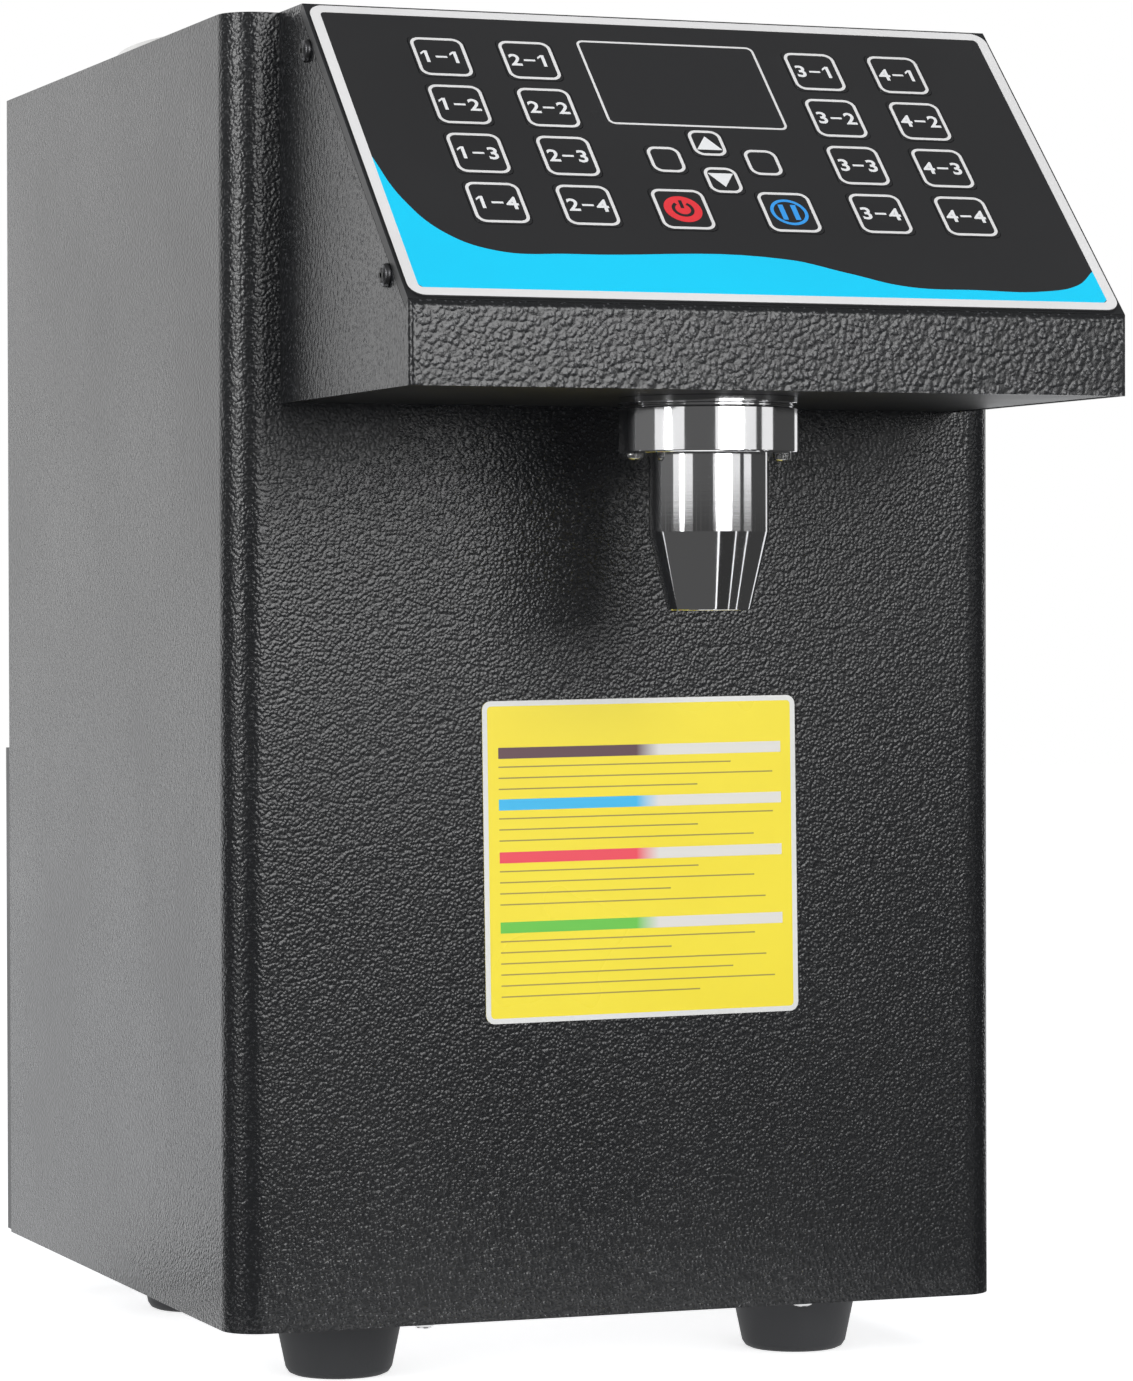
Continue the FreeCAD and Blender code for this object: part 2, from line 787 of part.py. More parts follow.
def key_places():
    """Name, centre and size of each key on the panel."""
    places = []
    for column, x in enumerate(COLUMNS, 1):
        for row in range(1, 5):
            y = size.key_row_first + (4 - row) * size.key_row_pitch
            places.append((f"key_{column}_{row}", x, y, size.key_width, size.key_height))
    small = (size.small_key_width, size.small_key_height)
    large = (size.key_width, size.key_height)
    places.append(("key_up", as_size(0), size.arrow_key_high, *small))
    places.append(("key_down", as_size(0), size.arrow_key_low, *small))
    places.append(("key_set", -size.side_key_out, size.side_key_height, *small))
    places.append(("key_save", size.side_key_out, size.side_key_height, *small))
    places.append(("key_power", -size.symbol_key_out, size.symbol_key_height, *large))
    places.append(("key_pause", size.symbol_key_out, size.symbol_key_height, *large))
    return places


KEYS = key_places()


def key_loop(place, gap=0):
    """The outline of a key, or of the hole that it moves in."""
    x, y, width, height = place[1:]
    return rectangle(
        x - width / 2 - gap, x + width / 2 + gap, y - height / 2 - gap, y + height / 2 + gap
    )


def window_loop(gap=0):
    half = size.window_half_width
    return rectangle(-half - gap, half + gap, size.window_low - gap, size.window_high + gap)


def cut_key_holes(body, low, high):
    """Cuts the holes for every key and the display window, with rounded corners."""
    loops = [key_loop(place, size.key_gap) for place in KEYS] + [window_loop(size.key_gap)]
    pocket(body, "XY_Plane", low, high, loops)
    spots = [spot for loop in loops for spot in corners_of(loop)]
    round_edges(body, size.key_corner_radius + size.key_gap, upright_edges_near(spots))


board_top = -(size.key_depth + size.key_travel + size.switch_gap + size.switch_height)
POST_ROWS = (size.key_board_low + 7, size.key_board_high - 6)
POST_SPOTS = across((size.key_column_inner + size.key_column_outer) / 2, POST_ROWS)
POST_SPOTS.append((as_size(0), size.key_board_low + 7))


# Control plate: black sheet under the printed panel, with rims, side flanges and posts for the key board
def make_control_plate():
    body = new_body("control_plate")
    foot = size.plate_end_gap * 2
    head = size.panel_length - size.plate_end_gap * 2
    pad(body, "XY_Plane", -size.rim_depth, 0, [rectangle(-half_hood, half_hood, foot, head)])
    inner = half_hood - size.rim_width
    pocket(body, "XY_Plane", -size.rim_depth - 1, -size.wall, [rectangle(-inner, inner, -1, head + 1)])
    cut_key_holes(body, -size.wall - 1, 1)
    flange_low = size.ledge_width + 2
    flange_high = size.panel_length - size.ledge_width - 2
    flanges = [
        rectangle(-inner - size.wall, -inner, flange_low, flange_high),
        rectangle(inner, inner + size.wall, flange_low, flange_high),
    ]
    pad(body, "XY_Plane", -size.plate_flange_depth, -size.rim_depth + 0.5, flanges)
    posts = [(x, y, size.post_radius) for x, y in POST_SPOTS]
    pad(body, "XY_Plane", board_top, -size.wall + 0.2, (), posts)
    screws = [(up, -deep, screw_hole) for up, deep in PLATE_SCREWS]
    pocket(body, "YZ_Plane", -half_hood, half_hood, (), screws)
    return kept(body, "control_plate", SLOPE_PLACE)


# Printed panel: the film with the keys' outlines, glued to the control plate
def make_printed_panel():
    body = new_body("printed_panel")
    side = half_hood - size.panel_side_margin
    outline = rectangle(-side, side, size.panel_end_margin, size.panel_length - size.panel_end_margin)
    pad(body, "XY_Plane", 0, size.panel_thickness, [outline])
    round_edges(body, size.panel_corner_radius, upright_edges_near(corners_of(outline)))
    cut_key_holes(body, -1, size.panel_thickness + 1)
    return kept(body, "printed_panel", SLOPE_PLACE)


# Keys: each sits in its own hole and presses the switch behind it
def make_keys():
    for place in KEYS:
        body = new_body(place[0])
        loop = key_loop(place)
        pad(body, "XY_Plane", -size.key_depth, size.panel_thickness + size.key_proud, [loop])
        round_edges(body, size.key_corner_radius, upright_edges_near(corners_of(loop)))
        kept(body, place[0], SLOPE_PLACE)


# Display window: dark lens flush with the printed panel
def make_display_window():
    body = new_body("display_window")
    loop = window_loop()
    pad(body, "XY_Plane", -size.wall, size.panel_thickness, [loop])
    round_edges(body, size.key_corner_radius, upright_edges_near(corners_of(loop)))
    return kept(body, "display_window", SLOPE_PLACE)


# Key board: one board with a push switch behind each key and the display module behind its window
def make_key_board():
    half = size.key_board_half_width
    board_low = board_top - size.board_thickness
    pieces = [box((-half, size.key_board_low, board_low), (half, size.key_board_high, board_top))]
    side = size.switch_size / 2
    body_top = board_top + size.switch_body_height
    plunger = size.switch_height - size.switch_body_height
    for place in KEYS:
        x, y = place[1:3]
        pieces.append(box((x - side, y - side, board_top), (x + side, y + side, body_top)))
        pieces.append(rod(size.switch_plunger_radius, plunger, (x, y, body_top)))
    half = size.window_half_width - size.display_margin
    low = size.window_low + size.display_margin
    high = size.window_high - size.display_margin
    pieces.append(box((-half, low, board_top), (half, high, -size.wall - size.soft_gap)))
    return kept(group(pieces), "key_board", SLOPE_PLACE)


# Nozzle: a turned collar held under the hood by two screws, with the outlet clamped inside it
collar_low = floor_z - size.collar_height
NOZZLE_PLACE = CABINET_PLACE.multiply(Placement(Vector(0, -size.nozzle_forward.value, 0), Rotation()))
flange_low = collar_low + 7
straight_low = collar_low - size.nozzle_straight
tip_low = straight_low - size.nozzle_cone


def make_nozzle():
    collar = new_body("nozzle_collar")
    groove_low = floor_z - size.collar_ring - size.collar_groove / 2
    groove_high = groove_low + size.collar_groove
    groove_radius = size.collar_radius - size.collar_groove
    turn(
        collar,
        [
            (size.nozzle_radius + size.fit_gap, collar_low),
            (size.collar_radius, collar_low),
            (size.collar_radius, groove_low),
            (groove_radius, groove_low),
            (groove_radius, groove_high),
            (size.collar_radius, groove_high),
            (size.collar_radius, floor_z),
            (size.stem_radius + size.fit_gap, floor_z),
            (size.stem_radius + size.fit_gap, groove_high),
            (size.nozzle_flange_radius + size.fit_gap, groove_high),
            (size.nozzle_flange_radius + size.fit_gap, flange_low),
            (size.nozzle_radius + size.fit_gap, flange_low),
        ],
    )
    centre_y = size.nozzle_forward
    holes = [(x, y + centre_y, small_hole) for x, y in COLLAR_SCREWS]
    pocket(collar, "XY_Plane", collar_low - 1, floor_z + 1, (), holes)
    kept(collar, "nozzle_collar", NOZZLE_PLACE)

    nozzle = new_body("nozzle_body")
    valve_low = tip_low + size.outlet_depth
    bore_low = valve_low + size.valve_depth
    barb_low = floor_z + size.wall + 1
    turn(
        nozzle,
        [
            (size.outlet_radius, tip_low),
            (size.nozzle_tip_radius, tip_low),
            (size.nozzle_radius, straight_low),
            (size.nozzle_radius, flange_low),
            (size.nozzle_flange_radius, flange_low),
            (size.nozzle_flange_radius, groove_high),
            (size.stem_radius, groove_high),
            (size.stem_radius, barb_low),
            (size.barb_radius, barb_low),
            (size.barb_radius, barb_low + size.barb_length),
            (size.syrup_bore, barb_low + size.barb_length),
            (size.syrup_bore, bore_low),
            (size.valve_radius, bore_low),
            (size.valve_radius, valve_low),
            (size.outlet_radius, valve_low),
        ],
    )
    kept(nozzle, "nozzle_body", NOZZLE_PLACE)

    valve = new_body("drip_valve")
    lip_radius = size.valve_radius - size.soft_gap
    turn(
        valve,
        [
            (0.6, bore_low - size.valve_depth + 1),
            (2.2, bore_low - size.valve_depth + 1),
            (lip_radius - 1.5, bore_low - 3),
            (lip_radius, bore_low - 3),
            (lip_radius, bore_low),
            (size.syrup_bore, bore_low),
            (size.syrup_bore, bore_low - 3),
        ],
    )
    kept(valve, "drip_valve", NOZZLE_PLACE)


# Syrup tank: spun stainless barrel that hangs by its flange in the top panel's mouth
TANK_PLACE = CABINET_PLACE.multiply(Placement(Vector(0, size.tank_centre.value, 0), Rotation()))
flange_top = size.cabinet_height + size.lid_thickness
outlet_hole = size.outlet_body_radius + size.panel_gap


def make_tank():
    tank = new_body("tank")
    turn(
        tank,
        [
            (outlet_hole, tank_bottom),
            (size.tank_radius + size.tank_wall, tank_bottom),
            (size.tank_radius + size.tank_wall, size.cabinet_height),
            (size.tank_flange_radius, size.cabinet_height),
            (size.tank_flange_radius, flange_top),
            (size.tank_radius, flange_top),
            (size.tank_radius, tank_bottom + size.tank_wall),
            (outlet_hole, tank_bottom + size.tank_wall),
        ],
    )
    kept(tank, "tank", TANK_PLACE)

    gasket = new_body("tank_gasket")
    inner = size.gasket_radius - size.gasket_width
    gasket_top = flange_top + size.gasket_height
    turn(
        gasket,
        [
            (inner, flange_top),
            (size.gasket_radius, flange_top),
            (size.gasket_radius, gasket_top),
            (inner, gasket_top),
        ],
    )
    kept(gasket, "tank_gasket", TANK_PLACE)


# Lid: pressed stainless disc with a turned-down skirt, a locating ring and a black knob
lid_low = flange_top + size.gasket_height
lid_top = lid_low + size.lid_thickness


def make_lid():
    lid = new_body("tank_lid")
    plug_outer = size.tank_radius - size.lid_plug_gap
    plug_inner = plug_outer - size.lid_thickness
    turn(
        lid,
        [
            (0, lid_low),
            (plug_inner, lid_low),
            (plug_inner, flange_top - size.lid_plug_depth),
            (plug_outer, flange_top - size.lid_plug_depth),
            (plug_outer, lid_low),
            (size.lid_radius - size.lid_thickness, lid_low),
            (size.lid_radius - size.lid_thickness, lid_top - size.lid_skirt),
            (size.lid_radius, lid_top - size.lid_skirt),
            (size.lid_radius, lid_top),
            (0, lid_top),
        ],
    )
    round_edges(lid, size.lid_thickness * 0.9, rim_edges_at(size.lid_radius, lid_top))
    kept(lid, "tank_lid", TANK_PLACE)

    knob = new_body("lid_knob")
    knob_top = lid_top + size.knob_height
    grip_low = lid_top + size.knob_height * 0.4
    turn(
        knob,
        [
            (0, lid_top),
            (size.knob_neck_radius + 2, lid_top),
            (size.knob_neck_radius, lid_top + 1.5),
            (size.knob_neck_radius, grip_low),
            (size.knob_radius, grip_low),
            (size.knob_radius, knob_top),
            (0, knob_top),
        ],
    )
    round_edges(knob, 2.5, rim_edges_at(size.knob_radius, knob_top))
    kept(knob, "lid_knob", TANK_PLACE)


# Tank outlet: bulkhead fitting with its nut, over the heater pad stuck to the tank's bottom
def make_outlet_and_heater():
    fitting = new_body("outlet_fitting")
    inside = tank_bottom + size.tank_wall
    body_low = inside - size.outlet_body_length
    turn(
        fitting,
        [
            (size.syrup_bore, body_low - size.barb_length),
            (size.barb_radius, body_low - size.barb_length),
            (size.barb_radius, body_low),
            (size.outlet_body_radius, body_low),
            (size.outlet_body_radius, inside),
            (size.outlet_flange_radius, inside),
            (size.outlet_flange_radius, inside + size.outlet_flange_height),
            (size.syrup_bore, inside + size.outlet_flange_height),
        ],
    )
    kept(fitting, "outlet_fitting", TANK_PLACE)

    nut = new_body("outlet_nut")
    corner = size.nut_across / 2 / cosine(as_size(30.0))
    hexagon = [
        (corner * cosine(as_size(60.0 * i)), corner * sine(as_size(60.0 * i))) for i in range(6)
    ]
    pad(nut, "XY_Plane", tank_bottom - size.nut_height, tank_bottom, [hexagon])
    hole = (0, 0, size.outlet_body_radius + size.fit_gap)
    pocket(nut, "XY_Plane", tank_bottom - size.nut_height - 1, tank_bottom + 1, (), [hole])
    kept(nut, "outlet_nut", TANK_PLACE)

    heater = new_body("heater_pad")
    heater_low = tank_bottom - size.heater_thickness
    turn(
        heater,
        [
            (size.heater_inner_radius, heater_low),
            (size.heater_radius, heater_low),
            (size.heater_radius, tank_bottom),
            (size.heater_inner_radius, tank_bottom),
        ],
    )
    kept(heater, "heater_pad", TANK_PLACE)


# Gear pump: two meshed gears in a bored housing, driven by the motor behind the bracket
gear_spacing = size.gear_pitch_radius * 2 + size.gear_backlash_gap
tooth_tip = size.gear_pitch_radius + size.tooth_addendum
tooth_root = size.gear_pitch_radius - size.tooth_dedendum
cavity_radius = tooth_tip + size.gear_side_gap
TEETH = 12
BACKWARD = Rotation(Vector(1, 0, 0), -90)
port_z = size.pump_axis_height + gear_spacing / 2
pump_back = size.pump_front + size.pump_body_depth
motor_front = pump_back + size.bracket_thickness
cavity_back = size.pump_front + size.gear_width + size.gear_side_gap * 2


def make_pump_housing():
    body = new_body("pump_housing")
    half = size.pump_width / 2
    centre = port_z
    low = centre - size.pump_height / 2
    high = centre + size.pump_height / 2
    x = pump_x
    pad(body, "XZ_Plane", size.pump_front, pump_back, [rectangle(x - half, x + half, low, high)])
    port_y = size.pump_front + size.gear_width / 2
    barb = [(port_y, port_z, size.barb_radius)]
    reach = half + size.barb_length + 3
    pad(body, "YZ_Plane", x - reach, x - half + 1, (), barb)
    pad(body, "YZ_Plane", x + half - 1, x + reach, (), barb)
    bore = [(port_y, port_z, size.syrup_bore)]
    pocket(body, "YZ_Plane", x - reach - 1, x + reach + 1, (), bore)
    for z in (size.pump_axis_height, size.pump_axis_height + gear_spacing):
        pocket(body, "XZ_Plane", size.pump_front - 1, cavity_back, (), [(x, z, cavity_radius)])
    hole = size.shaft_radius + size.running_gap
    pocket(body, "XZ_Plane", size.pump_front, pump_back + 1, (), [(x, size.pump_axis_height, hole)])
    blind = [(x, size.pump_axis_height + gear_spacing, hole)]
    pocket(body, "XZ_Plane", size.pump_front, pump_back - 1.5, (), blind)
    return kept(body, "pump_housing")


def make_pump_cover():
    body = new_body("pump_cover")
    half = size.pump_width / 2
    low = port_z - size.pump_height / 2
    high = port_z + size.pump_height / 2
    cover_front = size.pump_front - size.pump_cover_depth
    x = pump_x
    pad(body, "XZ_Plane", cover_front, size.pump_front, [rectangle(x - half, x + half, low, high)])
    hole = size.shaft_radius + size.running_gap
    blind = [(x, size.pump_axis_height + step, hole) for step in (0, gear_spacing)]
    pocket(body, "XZ_Plane", cover_front + 1.5, size.pump_front + 1, (), blind)
    return kept(body, "pump_cover")


def make_gear(name, height, first_angle, back_end):
    """A spur gear with its shaft, its first tooth at an angle from X towards the gear's own Y."""
    body = new_body(name)
    low = size.gear_side_gap
    high = low + size.gear_width
    pad(body, "XY_Plane", low, high, (), [(0, 0, tooth_root + 0.05)])
    foot_angle, pitch_angle, tip_angle = 10.5, 6.7, 3.2
    outline = []
    for radius, angle in (
        (tooth_root - 1, foot_angle),
        (tooth_root, foot_angle),
        (size.gear_pitch_radius, pitch_angle),
        (tooth_tip, tip_angle),
        (tooth_tip, -tip_angle),
        (size.gear_pitch_radius, -pitch_angle),
        (tooth_root, -foot_angle),
        (tooth_root - 1, -foot_angle),
    ):
        turned = as_size(first_angle + angle)
        outline.append((radius * cosine(turned), radius * sine(turned)))
    tooth = pad(body, "XY_Plane", low, high, [outline])
    pattern = body.newObject("PartDesign::PolarPattern", "teeth")
    pattern.Originals = [tooth]
    pattern.Axis = (tooth.Profile[0], ["N_Axis"])
    pattern.Angle = 360
    pattern.Occurrences = TEETH
    body.Tip = pattern
    doc.recompute()
    front_end = -size.pump_cover_depth + 2.5
    pad(body, "XY_Plane", front_end, back_end, (), [(0, 0, size.shaft_radius)])
    spot = Vector(pump_x.value, size.pump_front.value, float(height))
    return kept(body, name, CABINET_PLACE.multiply(Placement(spot, BACKWARD)))


shaft_end = size.pump_body_depth + size.bracket_thickness + 20


def make_gears():
    make_gear("drive_gear", size.pump_axis_height, -90.0, shaft_end)
    make_gear("driven_gear", size.pump_axis_height + gear_spacing, 90.0 + 15.0, size.pump_body_depth - 3)


def make_pump_bracket():
    body = new_body("pump_bracket")
    back = pump_back + size.bracket_thickness
    profile = [
        (pump_back, base_top),
        (back + size.bracket_foot, base_top),
        (back + size.bracket_foot, base_top + size.bracket_thickness),
        (back, base_top + size.bracket_thickness),
        (back, port_z + size.pump_height / 2),
        (pump_back, port_z + size.pump_height / 2),
    ]
    low = pump_x - size.bracket_width / 2
    pad(body, "YZ_Plane", low, low + size.bracket_width, [profile])
    hole = (pump_x, size.pump_axis_height, size.motor_boss_radius + size.soft_gap)
    pocket(body, "XZ_Plane", pump_back - 1, back + 1, (), [hole])
    return kept(body, "pump_bracket")


def make_motor():
    body = new_body("pump_motor")
    boss = size.bracket_thickness - size.soft_gap
    bore = size.shaft_radius + size.running_gap
    bore_end = 22.0
    turn(
        body,
        [
            (bore, -boss),
            (size.motor_boss_radius, -boss),
            (size.motor_boss_radius, 0),
            (size.motor_radius - 1, 0),
            (size.motor_radius, 1),
            (size.motor_radius, size.motor_length - 12),
            (size.motor_radius - 2, size.motor_length - 10),
            (size.motor_radius - 2, size.motor_length),
            (0, size.motor_length),
            (0, bore_end),
            (bore, bore_end),
        ],
    )
    spot = Vector(pump_x.value, motor_front.value, size.pump_axis_height.value)
    return kept(body, "pump_motor", CABINET_PLACE.multiply(Placement(spot, BACKWARD)))


# Hoses and wiring: straight runs joined by tangent arcs, each arc as large as its two runs allow
ARC_SHARE = 0.45
CABLE_RADIUS = 2.0


def route(points):
    """The centreline of a hose or cable through its route points."""
    points = [Vector(*[float(value) for value in point]) for point in points]
    edges = []
    start = points[0]
    for before, here, after in zip(points, points[1:], points[2:]):
        arriving = (here - before).normalize()
        leaving = (after - here).normalize()
        half_turn = arriving.getAngle(leaving) / 2
        cut = ARC_SHARE * min((here - before).Length, (after - here).Length)
        radius = cut / math.tan(half_turn)
        arc_start = here - arriving * cut
        arc_end = here + leaving * cut
        inward = (leaving - arriving).normalize()
        middle = here + inward * (radius / math.cos(half_turn) - radius)
        edges.append(Part.LineSegment(start, arc_start).toShape())
        edges.append(Part.Arc(arc_start, middle, arc_end).toShape())
        start = arc_end
    edges.append(Part.LineSegment(start, points[-1]).toShape())
    return Part.Wire(edges)


def swept(wire, radius):
    """A round bar along a centreline."""
    first = wire.Edges[0]
    origin = first.valueAt(first.FirstParameter)
    direction = first.tangentAt(first.FirstParameter)
    circle = Part.Wire([Part.makeCircle(float(radius), origin, direction)])
    return wire.makePipeShell([circle], True, False)


def make_hoses():
    bore = size.barb_radius + size.soft_gap
    outer = bore + size.hose_wall
    x = pump_x
    half = size.pump_width / 2
    port_y = size.pump_front + size.gear_width / 2
    barb_end = tank_bottom + size.tank_wall - size.outlet_body_length
    tank_y = size.tank_centre
    suction = [
        (0, tank_y, barb_end - 0.5),
        (0, tank_y, barb_end - 58),
        (22, tank_y - 22, barb_end - 96),
        (40, port_y + 20, port_z + 12),
        (28, port_y, port_z),
        (x + half + 0.5, port_y, port_z),
    ]
    delivery = [
        (x - half - 0.5, port_y, port_z),
        (x - half - 30, port_y, port_z),
        (-half_width + 22, port_y - 18, port_z + 20),
        (-half_width + 19, 32, port_z + 70),
        (-half_width + 22, 24, port_z + 150),
        (-half_width + 34, 22, port_z + 220),
        (-78, 12, floor_z + 30),
        (-48, -18, floor_z + 52),
        (-14, -size.nozzle_forward + 10, floor_z + 54),
        (0, -size.nozzle_forward, floor_z + 38),
        (0, -size.nozzle_forward, floor_z + size.wall + 1.5),
    ]
    for name, points in (("suction_hose", suction), ("delivery_hose", delivery)):
        piece = doc.addObject("Part::Feature", name)
        centreline = route(points)
        piece.Shape = swept(centreline, outer).cut(swept(centreline, bore))
        kept(piece, name)


# Power supply with its terminal strip, on the base plate
def make_power_supply():
    x_low = supply_x - size.supply_width / 2
    x_high = supply_x + size.supply_width / 2
    case_rear = supply_rear - size.supply_terminal_depth
    inset = size.wall * 3
    case = box((x_low, size.supply_front, base_top), (x_high, case_rear, base_top + size.supply_height))
    strip_top = base_top + size.supply_terminal_height
    strip = box((x_low + inset, case_rear, base_top), (x_high - inset, supply_rear, strip_top))
    kept(group([case, strip]), "power_supply")


# Main board on standoffs from the right side, with relays, terminals, a transformer and capacitors
def make_main_board():
    y_low = size.board_front
    z_low = size.board_low
    y_high = y_low + size.board_length
    z_high = z_low + size.board_height
    pieces = [box((board_x, y_low, z_low), (board_back, y_high, z_high))]
    for y in (y_low + size.board_corner, y_high - size.board_corner):
        for z in (z_low + size.board_corner, z_high - size.board_corner):
            pieces.append(rod(size.post_radius, size.board_standoff, (board_back, y, z), Vector(1, 0, 0)))
    relay_z = z_low + size.relay_low
    terminal_z = z_low + size.board_corner
    for i in range(4):
        y = y_low + size.relay_width + i * size.relay_pitch
        y_end = y + size.relay_width
        relay_top = relay_z + size.relay_height
        pieces.append(box((board_x - size.relay_depth, y, relay_z), (board_x, y_end, relay_top)))
        terminal_top = terminal_z + size.terminal_height
        pieces.append(box((board_x - size.terminal_depth, y, terminal_z), (board_x, y_end, terminal_top)))
    y = y_low + size.board_corner * 2
    z = z_low + size.transformer_low
    corner = (board_x, y + size.transformer_length, z + size.transformer_height)
    pieces.append(box((board_x - size.transformer_depth, y, z), corner))
    y += size.transformer_length + size.capacitor_radius * 2.5
    z += size.transformer_height / 2
    for i in range(2):
        tip = (board_x - size.capacitor_length, y + i * size.capacitor_radius * 3, z)
        pieces.append(rod(size.capacitor_radius, size.capacitor_length, tip, Vector(1, 0, 0)))
    kept(group(pieces), "main_board")


# Mains inlet: moulded socket with three blades, screwed on the rear cover
SOCKET_HALF_WIDTH = 12.0
SOCKET_HALF_HEIGHT = 8.6
SOCKET_DEPTH = 16.0
BLADES = ((-7.0, -2.0), (0.0, 2.0), (7.0, -2.0))


def make_inlet():
    body = new_body("power_inlet")
    x = inlet_x
    z = size.inlet_z
    outer = rear_face + size.inlet_flange_thickness
    half = size.inlet_flange_width / 2
    tall = size.inlet_flange_height / 2
    flange = rectangle(x - half, x + half, z - tall, z + tall)
    pad(body, "XZ_Plane", rear_face, outer, [flange])
    half = size.inlet_width / 2
    tall = size.inlet_height / 2
    inner_end = rear_face - size.inlet_depth
    pad(body, "XZ_Plane", inner_end, rear_face, [rectangle(x - half, x + half, z - tall, z + tall)])
    socket = rectangle(
        x - SOCKET_HALF_WIDTH, x + SOCKET_HALF_WIDTH, z - SOCKET_HALF_HEIGHT, z + SOCKET_HALF_HEIGHT
    )
    pocket(body, "XZ_Plane", outer - SOCKET_DEPTH, outer + 1, [socket])
    blades = [rectangle(x + bx - 1, x + bx + 1, z + bz - 2, z + bz + 2) for bx, bz in BLADES]
    pad(body, "XZ_Plane", outer - SOCKET_DEPTH - 1, outer - 2, blades)
    holes = [(x + side * size.inlet_screw_spacing / 2, z, small_hole) for side in (-1, 1)]
    pocket(body, "XZ_Plane", rear_face - 1, outer + 1, (), holes)
    return kept(body, "power_inlet")


# Mains switch: a housing clipped in the rear cover, and the rocker that tips on its trunnions
SWITCH_PLACE = CABINET_PLACE.multiply(
    Placement(Vector(switch_x.value, pivot_y.value, size.inlet_z.value), Rotation())
)


def make_switch():
    housing = new_body("switch_housing")
    face = rear_face - pivot_y
    half = size.switch_half_width
    tall = size.switch_half_length
    lip = size.bezel_lip
    bezel = rectangle(-half - lip, half + lip, -tall - lip, tall + lip)
    pad(housing, "XZ_Plane", face, face + size.bezel_thickness, [bezel])
    pad(housing, "XZ_Plane", face - size.switch_depth, face, [rectangle(-half, half, -tall, tall)])
    well_half = size.rocker_half_width + size.soft_gap
    well_tall = size.switch_half_length - 0.9
    well = rectangle(-well_half, well_half, -well_tall, well_tall)
    pocket(housing, "XZ_Plane", -size.rocker_drop - 2.5, face + size.bezel_thickness + 1, [well])
    bearing = [(0, 0, size.trunnion_radius + size.running_gap)]
    pocket(housing, "YZ_Plane", -half + 0.3, half - 0.3, (), bearing)
    kept(housing, "switch_housing", SWITCH_PLACE)

    rocker = new_body("rocker")
    end = size.rocker_half_length
    profile = [
        (size.rocker_rise, 0),
        (rocker_end, end),
        (rocker_end - 1.5, end),
        (-size.rocker_drop, end * 0.75),
        (-size.rocker_drop, -end * 0.75),
        (rocker_end - 1.5, -end),
        (rocker_end, -end),
    ]
    pad(rocker, "YZ_Plane", -size.rocker_half_width, size.rocker_half_width, [profile])
    pin_reach = half - 0.4
    pad(rocker, "YZ_Plane", -pin_reach, pin_reach, (), [(0, 0, size.trunnion_radius)])
    at_rest = Placement(Vector(0, 0, 0), Rotation(Vector(1, 0, 0), -size.rocker_tilt.value))
    kept(rocker, "rocker", SWITCH_PLACE.multiply(at_rest))


# Feet: moulded rubber cones with a recessed screw
def make_feet():
    pieces = []
    for x, y in FOOT_SPOTS:
        foot = new_body("foot")
        top = size.foot_height + size.wall
        turn(
            foot,
            [
                (size.foot_recess_radius, 0),
                (size.foot_bottom_radius, 0),
                (size.foot_top_radius, top),
                (screw_hole, top),
                (screw_hole, size.foot_screw_recess),
                (size.foot_recess_radius, size.foot_screw_recess),
            ],
        )
        round_edges(foot, size.foot_round, rim_edges_at(size.foot_bottom_radius, 0))
        foot.Placement = Placement(Vector(x.value, y.value, -size.foot_height.value), Rotation())
        pieces.append(foot)
    kept(group(pieces), "feet")


